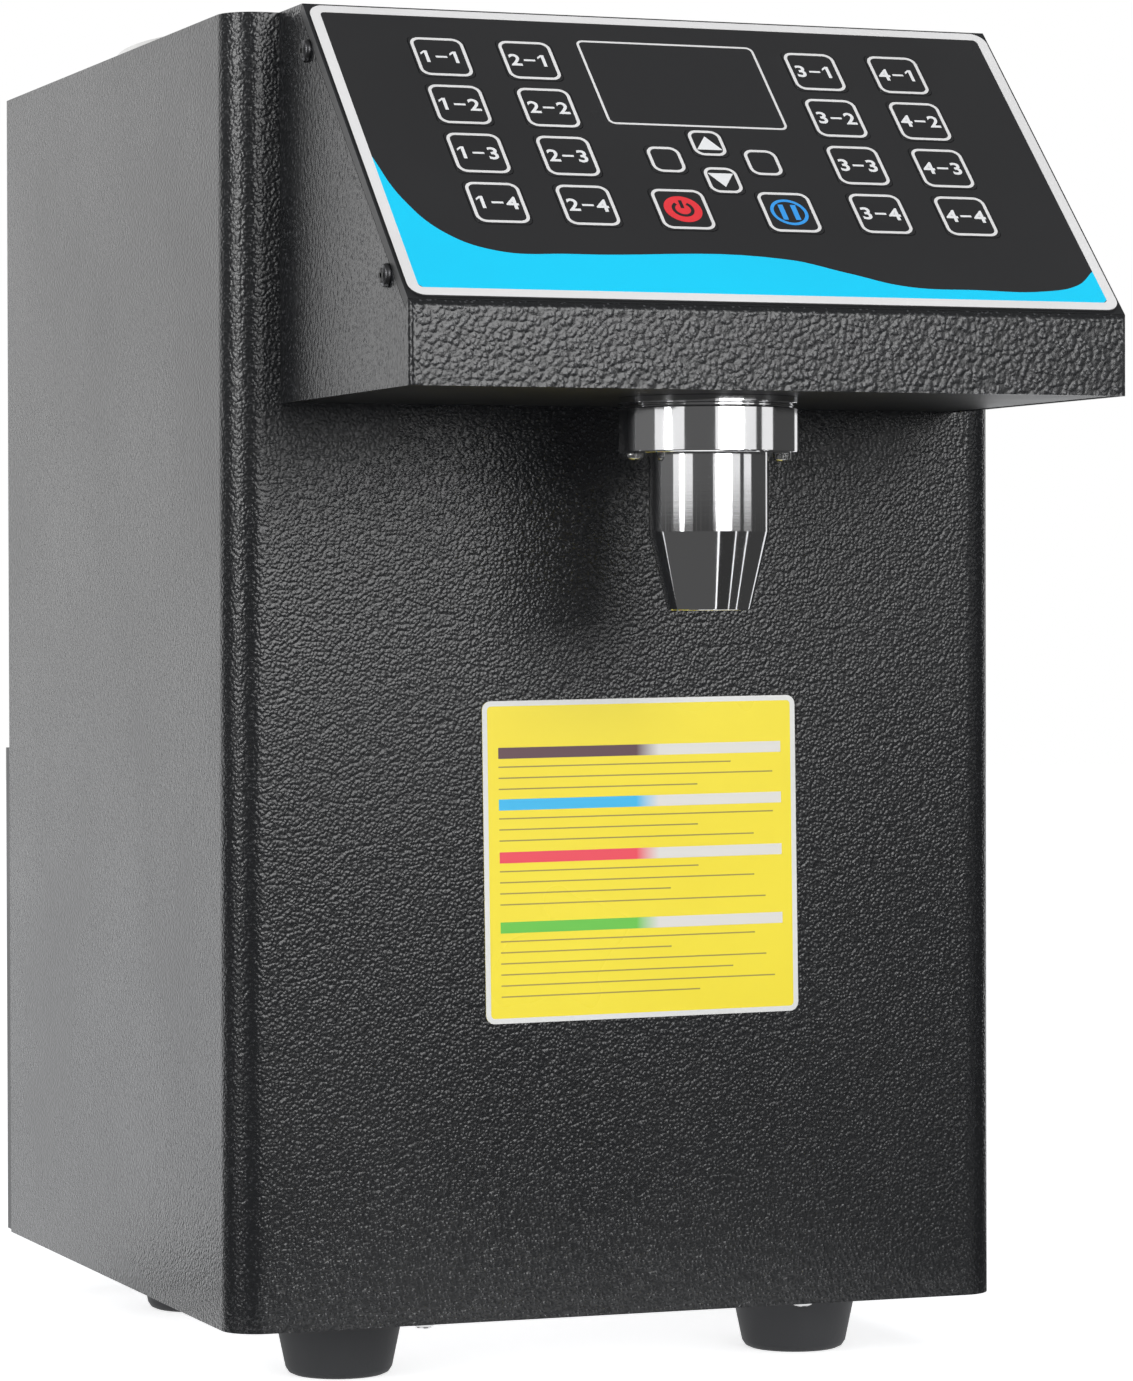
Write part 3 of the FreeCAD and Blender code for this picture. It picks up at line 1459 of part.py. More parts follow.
# Wiring: one cable for each link between the electrical parts
def make_wiring():
    board_y = size.board_front
    board_rear = board_y + size.board_length
    board_z = size.board_low
    inlet_y = rear_face - size.inlet_depth
    switch_y = pivot_y - size.switch_depth + 1.5
    key_y, key_z = slope_point(size.key_board_low + 12, -board_top + size.board_thickness)
    motor_back = motor_front + size.motor_length
    cables = [
        [
            (70, key_y, key_z),
            (70, key_y + 14, key_z - 14),
            (80, -6, 336),
            (98, 22, 322),
            (half_width - 18, 26, 270),
            (half_width - 16, 34, 200),
            (half_width - 22, board_y - 24, board_z + 76),
            (board_x - 3, board_y - 6, board_z + 12),
            (board_x - 3, board_y + 18, board_z + 12),
        ],
        [
            (inlet_x, inlet_y, size.inlet_z),
            (inlet_x, inlet_y - 16, size.inlet_z),
            (inlet_x, supply_rear + 10, base_top + 12),
            (inlet_x, supply_rear, base_top + 12),
        ],
        [
            (inlet_x - 7, inlet_y, size.inlet_z),
            (inlet_x - 7, inlet_y - 14, size.inlet_z),
            (switch_x, switch_y - 14, size.inlet_z + 4),
            (switch_x, switch_y, size.inlet_z + 4),
        ],
        [
            (switch_x, switch_y, size.inlet_z - 4),
            (switch_x, switch_y - 16, size.inlet_z - 4),
            (supply_x - 34, supply_rear + 12, base_top + 10),
            (supply_x - 34, supply_rear, base_top + 10),
        ],
        [
            (supply_x + 36, supply_rear, base_top + 10),
            (supply_x + 36, supply_rear + 30, base_top + 10),
            (board_x - 6, board_rear + 8, base_top + 40),
            (board_x - 5.5, board_rear + 6, board_z + 12),
            (board_x - 5.5, board_rear - 10, board_z + 12),
        ],
        [
            (pump_x, motor_back, size.pump_axis_height + 10),
            (pump_x, motor_back + 20, size.pump_axis_height + 10),
            (10, supply_rear + 16, 84),
            (74, board_y + 62, board_z + 40),
            (92, board_y + 49, board_z + 48),
            (board_x - 16, board_y + 49, board_z + 48),
        ],
        [
            (66, size.tank_centre + 34, tank_bottom - size.heater_thickness),
            (66, size.tank_centre + 34, tank_bottom - 14),
            (70, size.tank_centre + 31, board_z + 96),
            (84, board_y + 29, board_z + 88),
            (board_x - 20, board_y + 29, board_z + 88),
        ],
    ]
    harness = doc.addObject("Part::Feature", "wiring")
    harness.Shape = Part.makeCompound([swept(route(points), CABLE_RADIUS) for points in cables])
    return kept(harness, "wiring")


# Label plate: thin printed plate stuck a little askew on the front
LABEL_TURN = 0.7


def make_label_plate():
    body = new_body("label_plate")
    half = size.label_width / 2
    tall = size.label_height / 2
    loop = rectangle(-half, half, -tall, tall)
    pad(body, "XZ_Plane", -size.label_thickness, 0, [loop])

    def at_corner(edge):
        return runs_along(edge, Vector(0, 1, 0))

    round_edges(body, size.label_corner_radius, at_corner)
    centre = Vector(size.label_x.value, 0, size.label_z.value)
    askew = Placement(centre, Rotation(Vector(0, 1, 0), -LABEL_TURN))
    return kept(body, "label_plate", CABINET_PLACE.multiply(askew))


# Screws: pan heads with a domed top, each pointing from its head along its shank
def screw(base, direction, length, head_radius, head_height, shank_radius):
    """A screw whose head sits on the base point, with its shank along the direction."""
    crown = head_height * 0.45
    profile = [
        Vector(0, 0, -head_height),
        Vector(head_radius * 0.55, 0, -head_height),
        Vector(head_radius, 0, -crown),
        Vector(head_radius, 0, 0),
        Vector(shank_radius, 0, 0),
        Vector(shank_radius, 0, length),
        Vector(0, 0, length),
    ]
    edges = []
    for i, start in enumerate(profile):
        end = profile[(i + 1) % len(profile)]
        if i == 1:
            bulge = (start + end) / 2 + Vector(head_radius * 0.06, 0, -head_height * 0.12)
            edges.append(Part.Arc(start, bulge, end).toShape())
        else:
            edges.append(Part.LineSegment(start, end).toShape())
    solid = Part.Face(Part.Wire(edges)).revolve(Vector(0, 0, 0), Vector(0, 0, 1), 360)
    solid.Placement = Placement(base, Rotation(Vector(0, 0, 1), direction))
    return solid


def screws_at(spots, head_radius, head_height, shank_radius):
    """A list of equal screws, each spot giving a base point, a direction and a length."""
    sizes = (head_radius.value, head_height.value, shank_radius.value)
    solids = []
    for base, direction, length in spots:
        point = Vector(*[float(value) for value in base])
        solids.append(screw(point, direction, float(length), *sizes))
    return solids


def make_screws():
    up = Vector(0, 0, 1)
    forward = Vector(0, -1, 0)
    backward = Vector(0, 1, 0)
    through = size.wall * 2 + 3
    foot_head = size.foot_screw_recess - size.foot_height
    case_spots = [((x, y, 0), up, through) for x, y in BASE_SCREWS]
    case_spots += [((x, y, foot_head), up, through + size.wall - foot_head) for x, y in FOOT_SPOTS]
    for x, z in across(CASE_SCREW_X, REAR_COVER_SCREW_Z):
        case_spots.append(((x, rear_face, z), forward, size.rear_cover_depth + through))
    for x, z in across(CASE_SCREW_X, REAR_PANEL_SCREW_Z):
        case_spots.append(((x, size.cabinet_depth + size.wall, z), forward, through))
    for x, z in HOOD_SCREWS:
        case_spots.append(((x, -size.wall, z), backward, through))
    for spot in PLATE_SCREWS:
        y, z = slope_point(*spot)
        for side in (-1, 1):
            case_spots.append(((side * half_hood, y, z), Vector(-side, 0, 0), through))
    solids = screws_at(case_spots, size.screw_head_radius, size.screw_head_height, size.screw_radius)

    collar_length = floor_z - collar_low + size.wall + 4
    small_spots = [((x, y, collar_low), up, collar_length) for x, y in COLLAR_SCREWS]
    outer = rear_face + size.inlet_flange_thickness
    for side in (-1, 1):
        x = inlet_x + side * size.inlet_screw_spacing / 2
        small_spots.append(((x, outer, size.inlet_z), forward, size.inlet_flange_thickness + size.wall + 4))
    radius = size.small_screw_radius
    solids += screws_at(small_spots, size.small_head_radius, size.small_head_height, radius)
    piece = doc.addObject("Part::Feature", "screws")
    piece.Shape = Part.makeCompound(solids)
    return kept(piece, "screws")


make_cabinet_shell()
make_base_plate()
make_top_panel()
make_rear_panel()
make_rear_cover()
make_hood_shell()
make_hood_floor()
make_control_plate()
make_printed_panel()
make_keys()
make_display_window()
make_key_board()
make_nozzle()
make_tank()
make_lid()
make_outlet_and_heater()
make_pump_housing()
make_pump_cover()
make_gears()
make_pump_bracket()
make_motor()
make_hoses()
make_power_supply()
make_main_board()
make_inlet()
make_switch()
make_feet()
make_wiring()
make_label_plate()
make_screws()
doc.recompute()

failed = [item for item in doc.Objects if "Invalid" in item.State or "Error" in item.State]
failed += [item for item in nodes if item.Shape.isNull() or not item.Shape.isValid() or not item.Shape.Solids]
if failed:
    raise RuntimeError("not valid: " + ", ".join(f"{item.Label} {item.Name}" for item in failed))

os.makedirs("parts", exist_ok=True)
for node in nodes:
    node.Shape.exportStep(f"parts/{node.Label}.step")
print(f"{len(nodes)} nodes written")
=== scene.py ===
import json
import math

import bmesh
import bpy
from mathutils import Euler, Matrix, Vector


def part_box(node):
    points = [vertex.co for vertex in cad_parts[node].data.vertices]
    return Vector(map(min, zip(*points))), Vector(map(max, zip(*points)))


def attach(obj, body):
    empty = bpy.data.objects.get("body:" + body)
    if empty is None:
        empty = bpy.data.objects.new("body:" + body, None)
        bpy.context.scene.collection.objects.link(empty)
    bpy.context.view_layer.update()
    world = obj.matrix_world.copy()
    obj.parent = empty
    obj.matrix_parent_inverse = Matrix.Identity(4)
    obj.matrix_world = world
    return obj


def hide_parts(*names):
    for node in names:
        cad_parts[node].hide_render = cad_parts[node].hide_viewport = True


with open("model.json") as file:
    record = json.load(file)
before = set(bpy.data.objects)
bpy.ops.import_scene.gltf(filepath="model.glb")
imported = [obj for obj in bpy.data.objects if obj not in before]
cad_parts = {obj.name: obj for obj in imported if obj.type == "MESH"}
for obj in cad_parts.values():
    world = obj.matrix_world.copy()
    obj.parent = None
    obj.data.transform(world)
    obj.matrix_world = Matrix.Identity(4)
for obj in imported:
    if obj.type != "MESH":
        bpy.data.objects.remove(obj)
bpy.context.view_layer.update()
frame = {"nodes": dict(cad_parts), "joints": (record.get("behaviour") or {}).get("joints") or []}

# Cabinet
# The cabinet is one bent steel sheet round the front and both sides, with a tray for its top.
# It is sprayed with a black hammered paint that dries into small shiny bumps, whose tops get a lighter
# painted glint.
shell_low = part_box("body_shell")[0]
front_y = shell_low.y
base_z = shell_low.z
SHEET_EDGE = 0.0004
SHARP_ANGLE = math.radians(38.0)
FLAT_ANGLE = math.radians(0.4)
MERGE_DISTANCE = 0.000002
GLOSS_DRIFT = 0.03


def start_group(name, inputs, outputs):
    """An empty shader group with named number inputs and named outputs."""
    group = bpy.data.node_groups.new(name, "ShaderNodeTree")
    for label, value in inputs.items():
        socket = group.interface.new_socket(label, in_out="INPUT", socket_type="NodeSocketFloat")
        socket.default_value = value
    for label, kind in outputs.items():
        group.interface.new_socket(label, in_out="OUTPUT", socket_type=kind)
    return group, group.nodes.new("NodeGroupInput"), group.nodes.new("NodeGroupOutput")


def hammered_group():
    """Small rounded bumps of hammered paint over the object's own coordinates, and a mask on the bump tops
    for a painted glint.
    """
    group, given, result = start_group(
        "hammered_paint",
        {"Bumps per metre": 640.0, "Waviness": 0.0014},
        {"Height": "NodeSocketFloat", "Painted glint": "NodeSocketFloat", "Patch": "NodeSocketFloat"},
    )
    nodes = group.nodes
    links = group.links
    place = nodes.new("ShaderNodeTexCoord")
    swirl = nodes.new("ShaderNodeTexNoise")
    swirl.inputs["Scale"].default_value = 330.0
    swirl.inputs["Detail"].default_value = 2.0
    centred = nodes.new("ShaderNodeVectorMath")
    centred.operation = "SUBTRACT"
    centred.inputs[1].default_value = (0.5, 0.5, 0.5)
    amount = nodes.new("ShaderNodeVectorMath")
    amount.operation = "SCALE"
    warped = nodes.new("ShaderNodeVectorMath")
    cells = nodes.new("ShaderNodeTexVoronoi")
    cells.feature = "SMOOTH_F1"
    cells.inputs["Smoothness"].default_value = 0.55
    fine = nodes.new("ShaderNodeTexNoise")
    fine.inputs["Scale"].default_value = 1300.0
    fine.inputs["Detail"].default_value = 2.0
    broad = nodes.new("ShaderNodeTexNoise")
    broad.inputs["Scale"].default_value = 9.0
    broad.inputs["Detail"].default_value = 2.0
    dome = nodes.new("ShaderNodeMath")
    dome.operation = "SUBTRACT"
    dome.inputs[0].default_value = 1.0
    mixed = nodes.new("ShaderNodeMath")
    mixed.operation = "MULTIPLY_ADD"
    mixed.inputs[1].default_value = 0.3
    # Painted glint: the bump tops are picked out as a mask for a lighter colour.
    glint_mask = nodes.new("ShaderNodeMapRange")
    glint_mask.inputs["From Min"].default_value = 0.62
    glint_mask.inputs["From Max"].default_value = 0.9
    links.new(place.outputs["Object"], swirl.inputs["Vector"])
    links.new(swirl.outputs["Color"], centred.inputs[0])
    links.new(centred.outputs["Vector"], amount.inputs[0])
    links.new(given.outputs["Waviness"], amount.inputs["Scale"])
    links.new(place.outputs["Object"], warped.inputs[0])
    links.new(amount.outputs["Vector"], warped.inputs[1])
    links.new(warped.outputs["Vector"], cells.inputs["Vector"])
    links.new(given.outputs["Bumps per metre"], cells.inputs["Scale"])
    links.new(place.outputs["Object"], fine.inputs["Vector"])
    links.new(place.outputs["Object"], broad.inputs["Vector"])
    links.new(cells.outputs["Distance"], dome.inputs[1])
    links.new(fine.outputs["Fac"], mixed.inputs[0])
    links.new(dome.outputs["Value"], mixed.inputs[2])
    links.new(dome.outputs["Value"], glint_mask.inputs["Value"])
    links.new(mixed.outputs["Value"], result.inputs["Height"])
    links.new(glint_mask.outputs["Result"], result.inputs["Painted glint"])
    links.new(broad.outputs["Fac"], result.inputs["Patch"])
    return group


def start_material(name, colour, roughness, metallic=0.0):
    """A material with one Principled shader and its plain values set."""
    material = bpy.data.materials.new(name)
    material.use_nodes = True
    shader = material.node_tree.nodes["Principled BSDF"]
    shader.inputs["Base Color"].default_value = (*colour, 1.0)
    shader.inputs["Roughness"].default_value = roughness
    shader.inputs["Metallic"].default_value = metallic
    material.diffuse_color = (*colour, 1.0)
    return material, shader


def add_bump(material, shader, height, distance, strength=1.0):
    """Drives the shader's normal with a height output."""
    bump = material.node_tree.nodes.new("ShaderNodeBump")
    bump.inputs["Distance"].default_value = distance
    bump.inputs["Strength"].default_value = strength
    material.node_tree.links.new(height, bump.inputs["Height"])
    material.node_tree.links.new(bump.outputs["Normal"], shader.inputs["Normal"])


def add_blend(material, mask, low, high, target, from_range=(0.3, 0.7)):
    """Drives a shader input between two colours or two values with a mask."""
    nodes = material.node_tree.nodes
    links = material.node_tree.links
    spread = nodes.new("ShaderNodeMapRange")
    spread.inputs["From Min"].default_value = from_range[0]
    spread.inputs["From Max"].default_value = from_range[1]
    links.new(mask, spread.inputs["Value"])
    if isinstance(low, float):
        spread.inputs["To Min"].default_value = low
        spread.inputs["To Max"].default_value = high
        links.new(spread.outputs["Result"], target)
        return
    mix = nodes.new("ShaderNodeMix")
    mix.data_type = "RGBA"
    mix.inputs["A"].default_value = (*low, 1.0)
    mix.inputs["B"].default_value = (*high, 1.0)
    links.new(spread.outputs["Result"], mix.inputs["Factor"])
    links.new(mix.outputs["Result"], target)


hammered = hammered_group()


def hammered_paint(name, dark, light, bumps, depth, roughness):
    """Black hammered paint with so many bumps to a metre, each of a height in metres, its bump tops painted
    towards the light colour as a painted glint.
    """
    material, shader = start_material(name, dark, roughness)
    effect = material.node_tree.nodes.new("ShaderNodeGroup")
    effect.node_tree = hammered
    effect.inputs["Bumps per metre"].default_value = bumps
    # Painted glint: the bump tops are coloured towards the light colour.
    add_blend(material, effect.outputs["Painted glint"], dark, light, shader.inputs["Base Color"], (0.2, 1.0))
    glossy, dull = roughness - GLOSS_DRIFT, roughness + GLOSS_DRIFT
    add_blend(material, effect.outputs["Patch"], glossy, dull, shader.inputs["Roughness"])
    add_bump(material, shader, effect.outputs["Height"], depth)
    return material


def finish_piece(mesh, name, body, material, stands_for=(), sharp=SHARP_ANGLE):
    """Turns a bmesh into a named, shaded piece that rides on a CAD body."""
    data = bpy.data.meshes.new(name)
    mesh.to_mesh(data)
    mesh.free()
    for polygon in data.polygons:
        polygon.use_smooth = True
    data.set_sharp_from_angle(angle=sharp)
    data.materials.append(material)
    piece = bpy.data.objects.new(name, data)
    bpy.context.scene.collection.objects.link(piece)
    even = piece.modifiers.new("even_shading", "WEIGHTED_NORMAL")
    even.keep_sharp = True
    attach(piece, body)
    if stands_for:
        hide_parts(*stands_for)
    return piece


def softened(node, radius, segments=2):
    """A merged copy of a CAD node with its outer edges rounded."""
    mesh = bmesh.new()
    mesh.from_mesh(frame["nodes"][node].data)
    bmesh.ops.remove_doubles(mesh, verts=mesh.verts, dist=MERGE_DISTANCE)
    bmesh.ops.dissolve_limit(mesh, angle_limit=FLAT_ANGLE, verts=mesh.verts, edges=mesh.edges)
    round_sharp_edges(mesh, radius, segments)
    return mesh


def round_sharp_edges(mesh, radius, segments=2):
    """Rounds every edge whose faces meet at more than the sharp angle."""
    edges = [edge for edge in mesh.edges if edge.is_manifold and edge.calc_face_angle() > SHARP_ANGLE]
    bmesh.ops.bevel(
        mesh,
        geom=edges,
        offset=radius,
        offset_type="OFFSET",
        affect="EDGES",
        segments=segments,
        profile=0.5,
        material=-1,
        clamp_overlap=True,
    )


BLACK_PAINT = (0.009, 0.0095, 0.0105)
# Lighter colours painted on the bump tops as painted glints.
BLACK_PAINT_GLINT = (0.03, 0.031, 0.033)
HOOD_PAINT_GLINT = (0.06, 0.061, 0.064)
cabinet_paint = hammered_paint("black_hammered_paint", BLACK_PAINT, BLACK_PAINT_GLINT, 900.0, 0.0002, 0.27)
for node, name in (("body_shell", "cabinet_wrap"), ("top_panel", "cabinet_top")):
    finish_piece(softened(node, SHEET_EDGE), name, "cabinet", cabinet_paint, (node,))

# Hood
# The hood is folded from the same sheet: two side walls, a flat top and an upright lip.
# Its paint lies thicker, in larger bumps, with a brighter painted glint on their tops. Its floor is a plain
# black tray, pushed up inside the walls.
hood_paint = hammered_paint("hood_hammered_paint", BLACK_PAINT, HOOD_PAINT_GLINT, 620.0, 0.00024, 0.27)
hood = softened("hood_shell", SHEET_EDGE)
finish_piece(hood, "hood", "cabinet", hood_paint, ("hood_shell",))


def satin_group():
    """Very fine powder-coat grain with broad soft patches."""
    group, given, result = start_group(
        "satin_grain",
        {"Grains per metre": 2600.0, "Patches per metre": 14.0},
        {"Grain": "NodeSocketFloat", "Patch": "NodeSocketFloat"},
    )
    place = group.nodes.new("ShaderNodeTexCoord")
    for socket, label, detail in (("Grains per metre", "Grain", 2.0), ("Patches per metre", "Patch", 3.0)):
        noise = group.nodes.new("ShaderNodeTexNoise")
        noise.inputs["Detail"].default_value = detail
        group.links.new(place.outputs["Object"], noise.inputs["Vector"])
        group.links.new(given.outputs[socket], noise.inputs["Scale"])
        group.links.new(noise.outputs["Fac"], result.inputs[label])
    return group


satin = satin_group()
SATIN_DRIFT = 0.04


def satin_finish(name, dark, light, roughness, depth=0.00002, metallic=0.0, grains=2600.0):
    """A fine-grained satin surface whose colour and gloss drift a little from place to place."""
    material, shader = start_material(name, dark, roughness, metallic)
    effect = material.node_tree.nodes.new("ShaderNodeGroup")
    effect.node_tree = satin
    effect.inputs["Grains per metre"].default_value = grains
    add_blend(material, effect.outputs["Patch"], dark, light, shader.inputs["Base Color"])
    dull, glossy = roughness + SATIN_DRIFT, roughness - SATIN_DRIFT
    add_blend(material, effect.outputs["Patch"], dull, glossy, shader.inputs["Roughness"])
    add_bump(material, shader, effect.outputs["Grain"], depth)
    return material


sheet_paint = satin_finish("black_sheet_paint", (0.011, 0.0115, 0.012), (0.016, 0.0165, 0.018), 0.42)
floor_tray = softened("hood_floor", SHEET_EDGE)
finish_piece(floor_tray, "hood_floor_tray", "cabinet", sheet_paint, ("hood_floor",))

# Control plate and printed panel
# A black plate closes the hood's slope. On it is glued a thin dark film with a silver border and a cyan wave.
# The film and its inks are drawn flat, X across and Y up the slope, and then laid on the slope.
press_axis = next(joint["axis"] for joint in frame["joints"] if joint["name"] == "key_up_press")
slope = math.atan2(press_axis[1], -press_axis[2])
FILM_THICKNESS = 0.0006
FILM_MARGIN = 0.001
film_low, film_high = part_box("printed_panel")
slope_foot = Vector(
    (
        0.0,
        film_low.y + FILM_THICKNESS * math.sin(slope) - FILM_MARGIN * math.cos(slope),
        film_high.z - FILM_THICKNESS * math.cos(slope),
    )
)
panel_length = 0.1427
slope_foot.z -= (panel_length - FILM_MARGIN) * math.sin(slope)
to_slope = Matrix.Translation(slope_foot) @ Matrix.Rotation(slope, 4, "X")

plate = softened("control_plate", 0.0003)
finish_piece(plate, "slope_plate", "cabinet", sheet_paint, ("control_plate",))
film_surface = satin_finish("dark_film", (0.017, 0.017, 0.018), (0.021, 0.021, 0.022), 0.3, 0.000004)
film = softened("printed_panel", 0.00012)
finish_piece(film, "film", "cabinet", film_surface, ("printed_panel",))

INK_THICKNESS = 0.00006
INK_CURVE_STEPS = 8
BORDER_OUTER = 0.117
BORDER_LOW, BORDER_HIGH = 0.0015, 0.1412
BORDER_WIDTH = 0.0034
BORDER_RADIUS = 0.005


def rounded_face(mesh, x_low, x_high, y_low, y_high, radius):
    """A flat face with four rounded corners."""
    corners = [(x_low, y_low), (x_high, y_low), (x_high, y_high), (x_low, y_high)]
    points = [mesh.verts.new((x, y, 0.0)) for x, y in corners]
    mesh.faces.new(points)
    bmesh.ops.bevel(
        mesh,
        geom=points,
        offset=radius,
        offset_type="OFFSET",
        affect="VERTICES",
        segments=INK_CURVE_STEPS,
        profile=0.5,
        material=-1,
    )


def outline_mesh(x_low, x_high, y_low, y_high, radius, width):
    """A flat ring along a rounded rectangle, its width measured inwards."""
    mesh = bmesh.new()
    rounded_face(mesh, x_low, x_high, y_low, y_high, radius)
    mesh.faces.ensure_lookup_table()
    centre = mesh.faces[0]
    bmesh.ops.inset_region(mesh, faces=[centre], thickness=width, use_boundary=True, use_even_offset=True)
    bmesh.ops.delete(mesh, geom=[centre], context="FACES")
    return mesh


def lay_ink(mesh, height, matrix=None):
    """Gives flat ink its thickness, lifts it to a height over the plate and lays it on the slope."""
    mesh.normal_update()
    flipped = [face for face in mesh.faces if face.normal.z < 0]
    bmesh.ops.reverse_faces(mesh, faces=flipped)
    bmesh.ops.solidify(mesh, geom=mesh.faces[:], thickness=INK_THICKNESS)
    lowest = min(point.co.z for point in mesh.verts)
    bmesh.ops.translate(mesh, vec=(0.0, 0.0, height - lowest), verts=mesh.verts)
    bmesh.ops.recalc_face_normals(mesh, faces=mesh.faces)
    bmesh.ops.transform(mesh, matrix=matrix or to_slope, verts=mesh.verts)


silver_ink = satin_finish("silver_ink", (0.68, 0.67, 0.66), (0.76, 0.75, 0.74), 0.38, 0.000003)
border = outline_mesh(-BORDER_OUTER, BORDER_OUTER, BORDER_LOW, BORDER_HIGH, BORDER_RADIUS, BORDER_WIDTH)
lay_ink(border, FILM_THICKNESS)
finish_piece(border, "film_border", "cabinet", silver_ink)

WAVE = (
    (-0.1136, 0.0660, "VECTOR"),
    (-0.1086, 0.0460, "AUTO"),
    (-0.0990, 0.0305, "AUTO"),
    (-0.0850, 0.0228, "AUTO"),
    (-0.0600, 0.0220, "AUTO"),
    (0.0100, 0.0220, "AUTO"),
    (0.0290, 0.0160, "AUTO"),
    (0.0460, 0.0105, "AUTO"),
    (0.0700, 0.0095, "AUTO"),
    (0.0930, 0.0096, "AUTO"),
    (0.1060, 0.0130, "AUTO"),
    (0.1136, 0.0200, "VECTOR"),
    (0.1136, 0.0063, "VECTOR"),
    (0.1122, 0.0049, "VECTOR"),
    (-0.1122, 0.0049, "VECTOR"),
    (-0.1136, 0.0063, "VECTOR"),
)


def filled_curve(name, points, steps=10):
    """A flat bmesh filled inside a closed curve through (x, y, handle) points."""
    curve = bpy.data.curves.new(name, "CURVE")
    curve.dimensions = "2D"
    curve.fill_mode = "BOTH"
    curve.resolution_u = steps
    spline = curve.splines.new("BEZIER")
    spline.bezier_points.add(len(points) - 1)
    for point, (x, y, handle) in zip(spline.bezier_points, points):
        point.co = (x, y, 0.0)
        point.handle_left_type = handle
        point.handle_right_type = handle
    spline.use_cyclic_u = True
    return flat_mesh(name, curve)


def flat_mesh(name, curve):
    """The flat bmesh of a curve or text, with its doubles merged."""
    holder = bpy.data.objects.new(name, curve)
    bpy.context.scene.collection.objects.link(holder)
    bpy.context.view_layer.update()
    data = bpy.data.meshes.new_from_object(holder.evaluated_get(bpy.context.evaluated_depsgraph_get()))
    mesh = bmesh.new()
    mesh.from_mesh(data)
    bpy.data.objects.remove(holder)
    bpy.data.meshes.remove(data)
    bmesh.ops.remove_doubles(mesh, verts=mesh.verts, dist=MERGE_DISTANCE)
    return mesh


cyan_ink = satin_finish("cyan_ink", (0.0, 0.56, 0.85), (0.0, 0.61, 0.9), 0.34, 0.000003)
wave = filled_curve("wave_outline", WAVE)
lay_ink(wave, FILM_THICKNESS)
finish_piece(wave, "film_wave", "cabinet", cyan_ink)

# Keys
# Each key is a stiff pad of dark film that shows a silver outline; most carry a number, an arrow or a symbol,
# and the set and save keys are left plain.
# The dose keys are numbered by column and row.
KEY_EDGE = 0.00025
KEY_OUTLINE = 0.00105
KEY_OUTLINE_RADIUS = 0.0034
KEY_OUTLINE_INSET = 0.0003
KEY_RADIUS = 0.0025
KEY_TOP = 0.0008
KEY_BOTTOM = -0.0016
FIGURE_SIZE = 0.008
FIGURE_WEIGHT = 0.00015
FIGURE_SPREAD = 0.0048
FLAG = (0.0013, 0.0012, 0.0009)
DASH_HALF_SIZE = (0.0019, 0.00042)
key_surface = satin_finish("key_film", (0.015, 0.015, 0.016), (0.019, 0.019, 0.02), 0.32, 0.000004)
white_ink = satin_finish("white_ink", (0.74, 0.74, 0.74), (0.8, 0.8, 0.8), 0.4, 0.000003)
red_ink = satin_finish("red_ink", (0.72, 0.03, 0.04), (0.8, 0.04, 0.05), 0.36, 0.000003)
blue_ink = satin_finish("blue_ink", (0.03, 0.3, 0.75), (0.05, 0.34, 0.82), 0.36, 0.000003)


def key_frame(node):
    """Centre and half sizes of a key on the flat panel."""
    corners = [to_slope.inverted() @ vertex.co for vertex in frame["nodes"][node].data.vertices]
    x_low, x_high = min(c.x for c in corners), max(c.x for c in corners)
    y_low, y_high = min(c.y for c in corners), max(c.y for c in corners)
    return (x_low + x_high) / 2, (y_low + y_high) / 2, (x_high - x_low) / 2, (y_high - y_low) / 2


def make_key(node):
    """The key's pad and its silver outline."""
    x, y, half_width, half_height = key_frame(node)
    pad = bmesh.new()
    rounded_face(pad, x - half_width, x + half_width, y - half_height, y + half_height, KEY_RADIUS)
    grown = bmesh.ops.extrude_face_region(pad, geom=pad.faces[:], use_keep_orig=True)
    raised = [item for item in grown["geom"] if isinstance(item, bmesh.types.BMVert)]
    bmesh.ops.translate(pad, vec=(0.0, 0.0, KEY_TOP - KEY_BOTTOM), verts=raised)
    bmesh.ops.translate(pad, vec=(0.0, 0.0, KEY_BOTTOM), verts=pad.verts)
    bmesh.ops.recalc_face_normals(pad, faces=pad.faces)
    round_sharp_edges(pad, KEY_EDGE)
    bmesh.ops.transform(pad, matrix=to_slope, verts=pad.verts)
    finish_piece(pad, node + "_pad", node, key_surface, (node,))
    inset = KEY_OUTLINE_INSET + KEY_EDGE
    ring = outline_mesh(
        x - half_width + inset,
        x + half_width - inset,
        y - half_height + inset,
        y + half_height - inset,
        KEY_OUTLINE_RADIUS,
        KEY_OUTLINE,
    )
    lay_ink(ring, KEY_TOP)
    finish_piece(ring, node + "_outline", node, silver_ink)


def add_bar(mesh, x, y, half_width, half_height):
    """A flat bar in a symbol."""
    square = [(x - half_width, y - half_height), (x + half_width, y - half_height)]
    square += [(x + half_width, y + half_height), (x - half_width, y + half_height)]
    mesh.faces.new([mesh.verts.new((px, py, 0.0)) for px, py in square])


